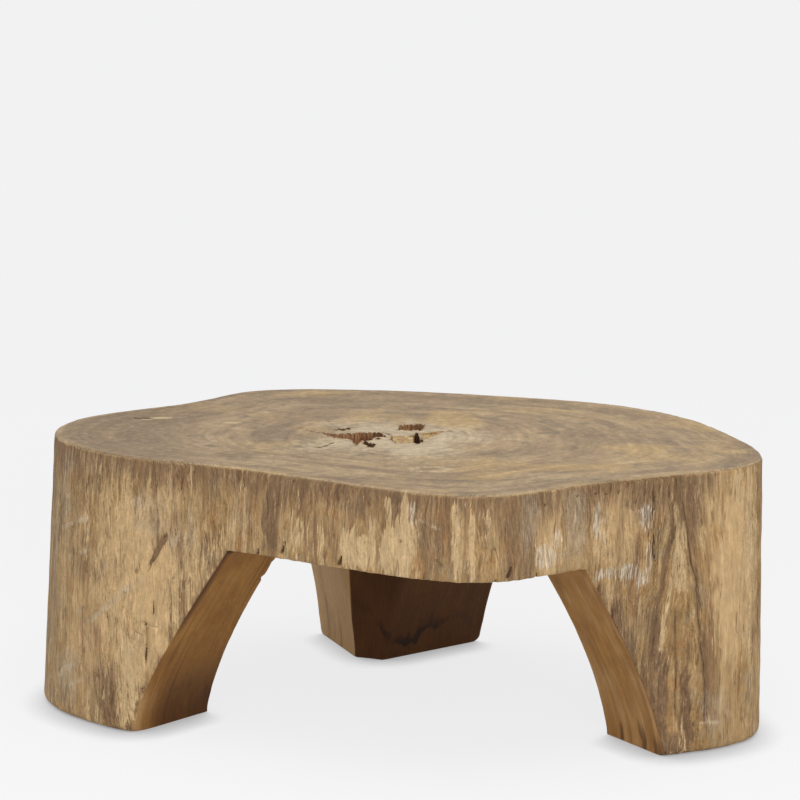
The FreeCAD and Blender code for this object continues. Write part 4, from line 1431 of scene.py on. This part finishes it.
def top_stains(x, y):
    """Stains of the top at points in mm."""
    turn, reach = np.arctan2(y, x), np.hypot(x, y)
    wide = 118 + 30 * noise(turn * 2.2, 0, 0, 131) + 20 * noise(turn * 7, 0, 0, 132)
    right, back = x - YELLOW[0], y - YELLOW[1]
    yellow = ramp(0.2, 0.8, noise(x / 120, y / 60, 0, 133)) * ramp(100, 240, reach) * ramp(-300, -120, x)
    bruises = ramp(0.15, 0.8, noise(x / 110, y / 50, 0.5, 134)) * ramp(110, 260, reach)
    stain = {
        "silver": ramp(1.5, 0.3, reach / wide),
        "gold": ramp(1.3, 0.6, np.hypot(right * 0.8 + back * 0.15, back * 0.5) / 34),
        "dusk": ramp(1.2, 0.5, oval(x, y, BRUISE)),
        "pale": 0.6 * ramp(1.2, 0.6, np.abs(oval(x, y, KNOT_RING) - 1) * 3),
        "crack": np.zeros(len(x)),
    }
    lay(stain, "gold", 0.65 * yellow)
    for dusk in (0.75 * bruises, ramp(1.5, 0.6, oval(x, y, KNOT)), 0.85 * ramp(-200, -380, x)):
        lay(stain, "dusk", dusk)
    for chip in PALE_CHIPS:
        lay(stain, "pale", 0.9 * ramp(1.4, 0.4, oval(x, y, chip)))
    for from_x, from_y, to_x, to_y, width in TOP_CRACKS:
        run = np.array([to_x - from_x, to_y - from_y])
        t = np.clip(((x - from_x) * run[0] + (y - from_y) * run[1]) / (run @ run), 0, 1)
        gap = np.hypot(x - from_x - t * run[0], y - from_y - t * run[1])
        lay(stain, "crack", ramp(width + 1.2, 0.4 * width, gap))
    return stain


print("cracks in the top:", len(TOP_CRACKS))

# %% Points of the top
# Close together about the heart and where two pale chips lie, wider elsewhere. The top is a little
# wavy, and sunk at its cracks and bruises.
TOP_PITCH, TOP_ROOM, CLOSE_PITCH, CLOSE_ROOM = 9 * MM, 3 * MM, 3.2 * MM, 1.2 * MM
CLOSE_PATCHES = ((-165, -125, 150, 190), (-408, 120, -330, 152), (-266, 90, -222, 112))
top_loop = wall[-1, :, :2]
top_inner = scatter([top_loop] + hollow_loops, TOP_PITCH, 121, TOP_ROOM)
for low_x, low_y, high_x, high_y in CLOSE_PATCHES:
    patch = np.array([(low_x, low_y), (high_x, low_y), (high_x, high_y), (low_x, high_y)]) * MM
    close = scatter([patch] + hollow_loops, CLOSE_PITCH, 122, CLOSE_ROOM)
    top_inner = np.concatenate([top_inner[~inside(top_inner, patch)], close])
top_x, top_y = top_inner.T
top_stain = top_stains(top_x / MM, top_y / MM)
wave = 0.5 * (1 + streaks(top_x, top_y, 0 * top_x, 90, 90, 135))
dip = 1.6 * wave * ramp(2 * MM, 50 * MM, gap_to(top_inner, top_loop[::8]))
dip = dip + 2.0 * top_stain["crack"] + 0.6 * top_stain["dusk"]
print("top:", len(top_inner), "points, sunk up to", round(dip.max(), 1), "mm")

# %% Torn walls and floors of the holes
# from which x to which, in mm, painted shade deepens in a hole, and how much; the shallow flake stays light
GLOOM = {
    "left_pit": (-50, -28, 0.45), "front_crumbs": (-56, -44, 0.6), "small_crumb": (-40, -35, 0.6),
    "block_pit": (20, 25, 0.6), "rear_pit": (8, 30, 0.42), "rear_crumb": (-100, -95, 0.5),
}
WALL_SHARES = (0, 0.05, 0.15, 0.3, 0.5, 0.75, 1)
CHIPPED_WALL = 21 * MM


def gloom(hollow, x):
    """How much painted shade a hole has at an x in metres."""
    if hollow not in GLOOM:
        return 0.0
    start, end, most = GLOOM[hollow]
    return most * ramp(start, end, x / MM)


def tear_hole(hollow, index, loop):
    """One hole: a chipped edge, walls torn along the fibres, a rough floor; returns its edge's numbers."""
    depth, step = HOLLOWS[hollow][0] * MM, np.arange(len(loop))
    onward = np.roll(loop, -1, axis=0) - np.roll(loop, 1, axis=0)
    inward = np.stack([-onward[:, 1], onward[:, 0]], axis=1)
    inward /= np.linalg.norm(inward, axis=1, keepdims=True)
    tear = noise(step / 2.0, 0, 0, 141 + index) + 0.5 * noise(step / 0.9, 1, 0, 141 + index)
    chip = min(3 * MM, 0.25 * depth) * ramp(0.0, 0.9, tear)
    rows = []
    for t in WALL_SHARES:
        shift = 1.4 * MM * math.sin(math.pi * t) * tear * min(1, depth / (20 * MM))
        rows.append(np.column_stack([loop + inward * shift[:, None], TOP_Z - chip - t * (depth - chip)]))
    rows = np.array(rows)
    # painted shade on the walls and floor of the hole, laid as dark
    numbers = slab.place(rows, dark=gloom(hollow, rows[:, :, 0])).reshape(rows.shape[:2])
    kind = CHIP if hollow == "right_flake" else HEART
    beside_block = (hollow == "block_pit") & (loop[:, 0] < CHIPPED_WALL)
    slab.quads(numbers, np.where(beside_block, CHIP, kind))
    inner = scatter([loop], 3.5 * MM, 151 + index, 1.2 * MM)
    rough = 0.12 * depth * noise(inner[:, 0] / (5 * MM), inner[:, 1] / (5 * MM), 0, 161 + index)
    levels = TOP_Z - depth + np.abs(rough)
    slab.cap([loop], [numbers[-1]], inner, levels, kind, dark=gloom(hollow, inner[:, 0]))
    return numbers[0]


hole_numbers = [tear_hole(hollow, index, hollow_loops[index]) for index, hollow in enumerate(HOLLOWS)]
slab.cap([top_loop] + hollow_loops, [wall_numbers[-1]] + hole_numbers, top_inner, TOP_Z - dip * MM, TOP,
         **top_stain)
slab_woods = [side_wood, flank_wood, top_wood, heart_wood, pale_wood]
slab.finish("slab_wood", slab_woods, ["top_slab"])

# %% [markdown]
# ## Loose heartwood
# What the rot left standing: a pale block split on all sides, a little below the top, and three red
# splinters beside it, torn to points. Both are lofted like the legs, with torn sides and a crumbled
# top, because split wood has no flat face.

# %% Block
BLOCK_LINE = ((-9, 11), (0, 7), (11, 11), (22, 9), (22.5, -8), (21.5, -32), (10, -36), (-2, -34), (-9, -16))
block_low, block_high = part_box("heart_block")
block_loop = ragged(BLOCK_LINE, 171)
tear = 0.7 * MM * noise(np.arange(len(block_loop)) / 2.0, 0, 0, 174)
inward = block_loop.mean(axis=0) - block_loop
inward /= np.linalg.norm(inward, axis=1, keepdims=True)
edge_crumb = noise(block_loop[:, 0] / (7 * MM), block_loop[:, 1] / (5 * MM), 0, 173)
tall = block_high.z + (0.9 - 0.8 * edge_crumb) * MM - block_low.z
rows = [np.column_stack([block_loop, np.full(len(block_loop), block_low.z)])]
for t in (0.25, 0.5, 0.75, 0.9, 1):
    line = block_loop + inward * (0.8 * MM + tear * math.sin(math.pi * t))[:, None]
    rows.append(np.column_stack([line, block_low.z + t * tall]))
block = Piece()
numbers = block.place(np.array(rows)).reshape(len(rows), -1)
block.quads(numbers, [0] * len(block_loop))
top_points = scatter([block_loop], 2.6 * MM, 172, 1.0 * MM)
crumb = noise(top_points[:, 0] / (4 * MM), top_points[:, 1] / (6 * MM), 0, 173)
crumb = 0.5 * crumb + 0.5 * np.round(2.5 * crumb) / 2.5
block.cap([block_loop], [numbers[-1]], top_points, block_high.z + (0.3 + 1.4 * crumb) * MM, 0)
block.cap([block_loop], [numbers[0]], scatter([block_loop], 5 * MM, 175), block_low.z, 0, down=True)
block.finish("heart_block_split", [pale_wood], ["heart_block"], 40)

# %% Splinters
SPLINTER_SIDES, SPLINTER_ROWS, PEAK = 40, 14, 3.5 * MM


def build_splinter(number):
    """One splinter: a bundle that narrows upwards, its sides fluted and its top torn to points."""
    node = f"heart_splinter_{number}"
    low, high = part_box(node)
    middle, half = (low + high) / 2, (high - low) / 2
    side = np.arange(SPLINTER_SIDES)
    turn = np.linspace(0, 2 * math.pi, SPLINTER_SIDES + 1)[:-1]
    flute = 0.86 + 0.12 * noise(side / 2.2, number, 0, 181)
    tall = high.z - PEAK + PEAK * noise(side / 3.0, number, 0, 182) - low.z
    across = np.sign(np.cos(turn)) * np.abs(np.cos(turn)) ** 0.7
    back = np.sign(np.sin(turn)) * np.abs(np.sin(turn)) ** 0.7
    rows = []
    for t in np.linspace(0, 1, SPLINTER_ROWS):
        slim = flute * (1 - 0.35 * t ** 2) * (1 + 0.1 * math.sin(5 * t + number))
        rows.append(np.column_stack([middle.x + half.x * slim * across, middle.y + half.y * slim * back,
                                     low.z + t * tall]))
    piece = Piece()
    numbers = piece.place(np.array(rows)).reshape(SPLINTER_ROWS, -1)
    piece.quads(numbers, [0] * SPLINTER_SIDES)
    foot, loop = rows[0][:, :2], rows[-1][:, :2]
    tops = scatter([loop], 1.8 * MM, 183 + number, 0.7 * MM)
    jag = noise(tops[:, 0] / (2.4 * MM), tops[:, 1] / (2.4 * MM), 0, 184)
    piece.cap([loop], [numbers[-1]], tops, high.z - (3.2 - 3.2 * jag) * MM, 0)
    piece.cap([foot], [numbers[0]], np.zeros((0, 2)), low.z, 0, down=True)
    piece.finish(f"{node}_torn", [red_wood], [node], 40)


for number in (1, 2, 3):
    build_splinter(number)

# %% [markdown]
# ## Dowels
# Two dowels hold each leg to the slab. They are hidden, and their solids are right as they are, so
# they only get their wood.

# %% Dowel wood
for dowel in dowels:
    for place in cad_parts[dowel].material_slots:
        place.material = dowel_wood
print("dowels:", len(dowels))
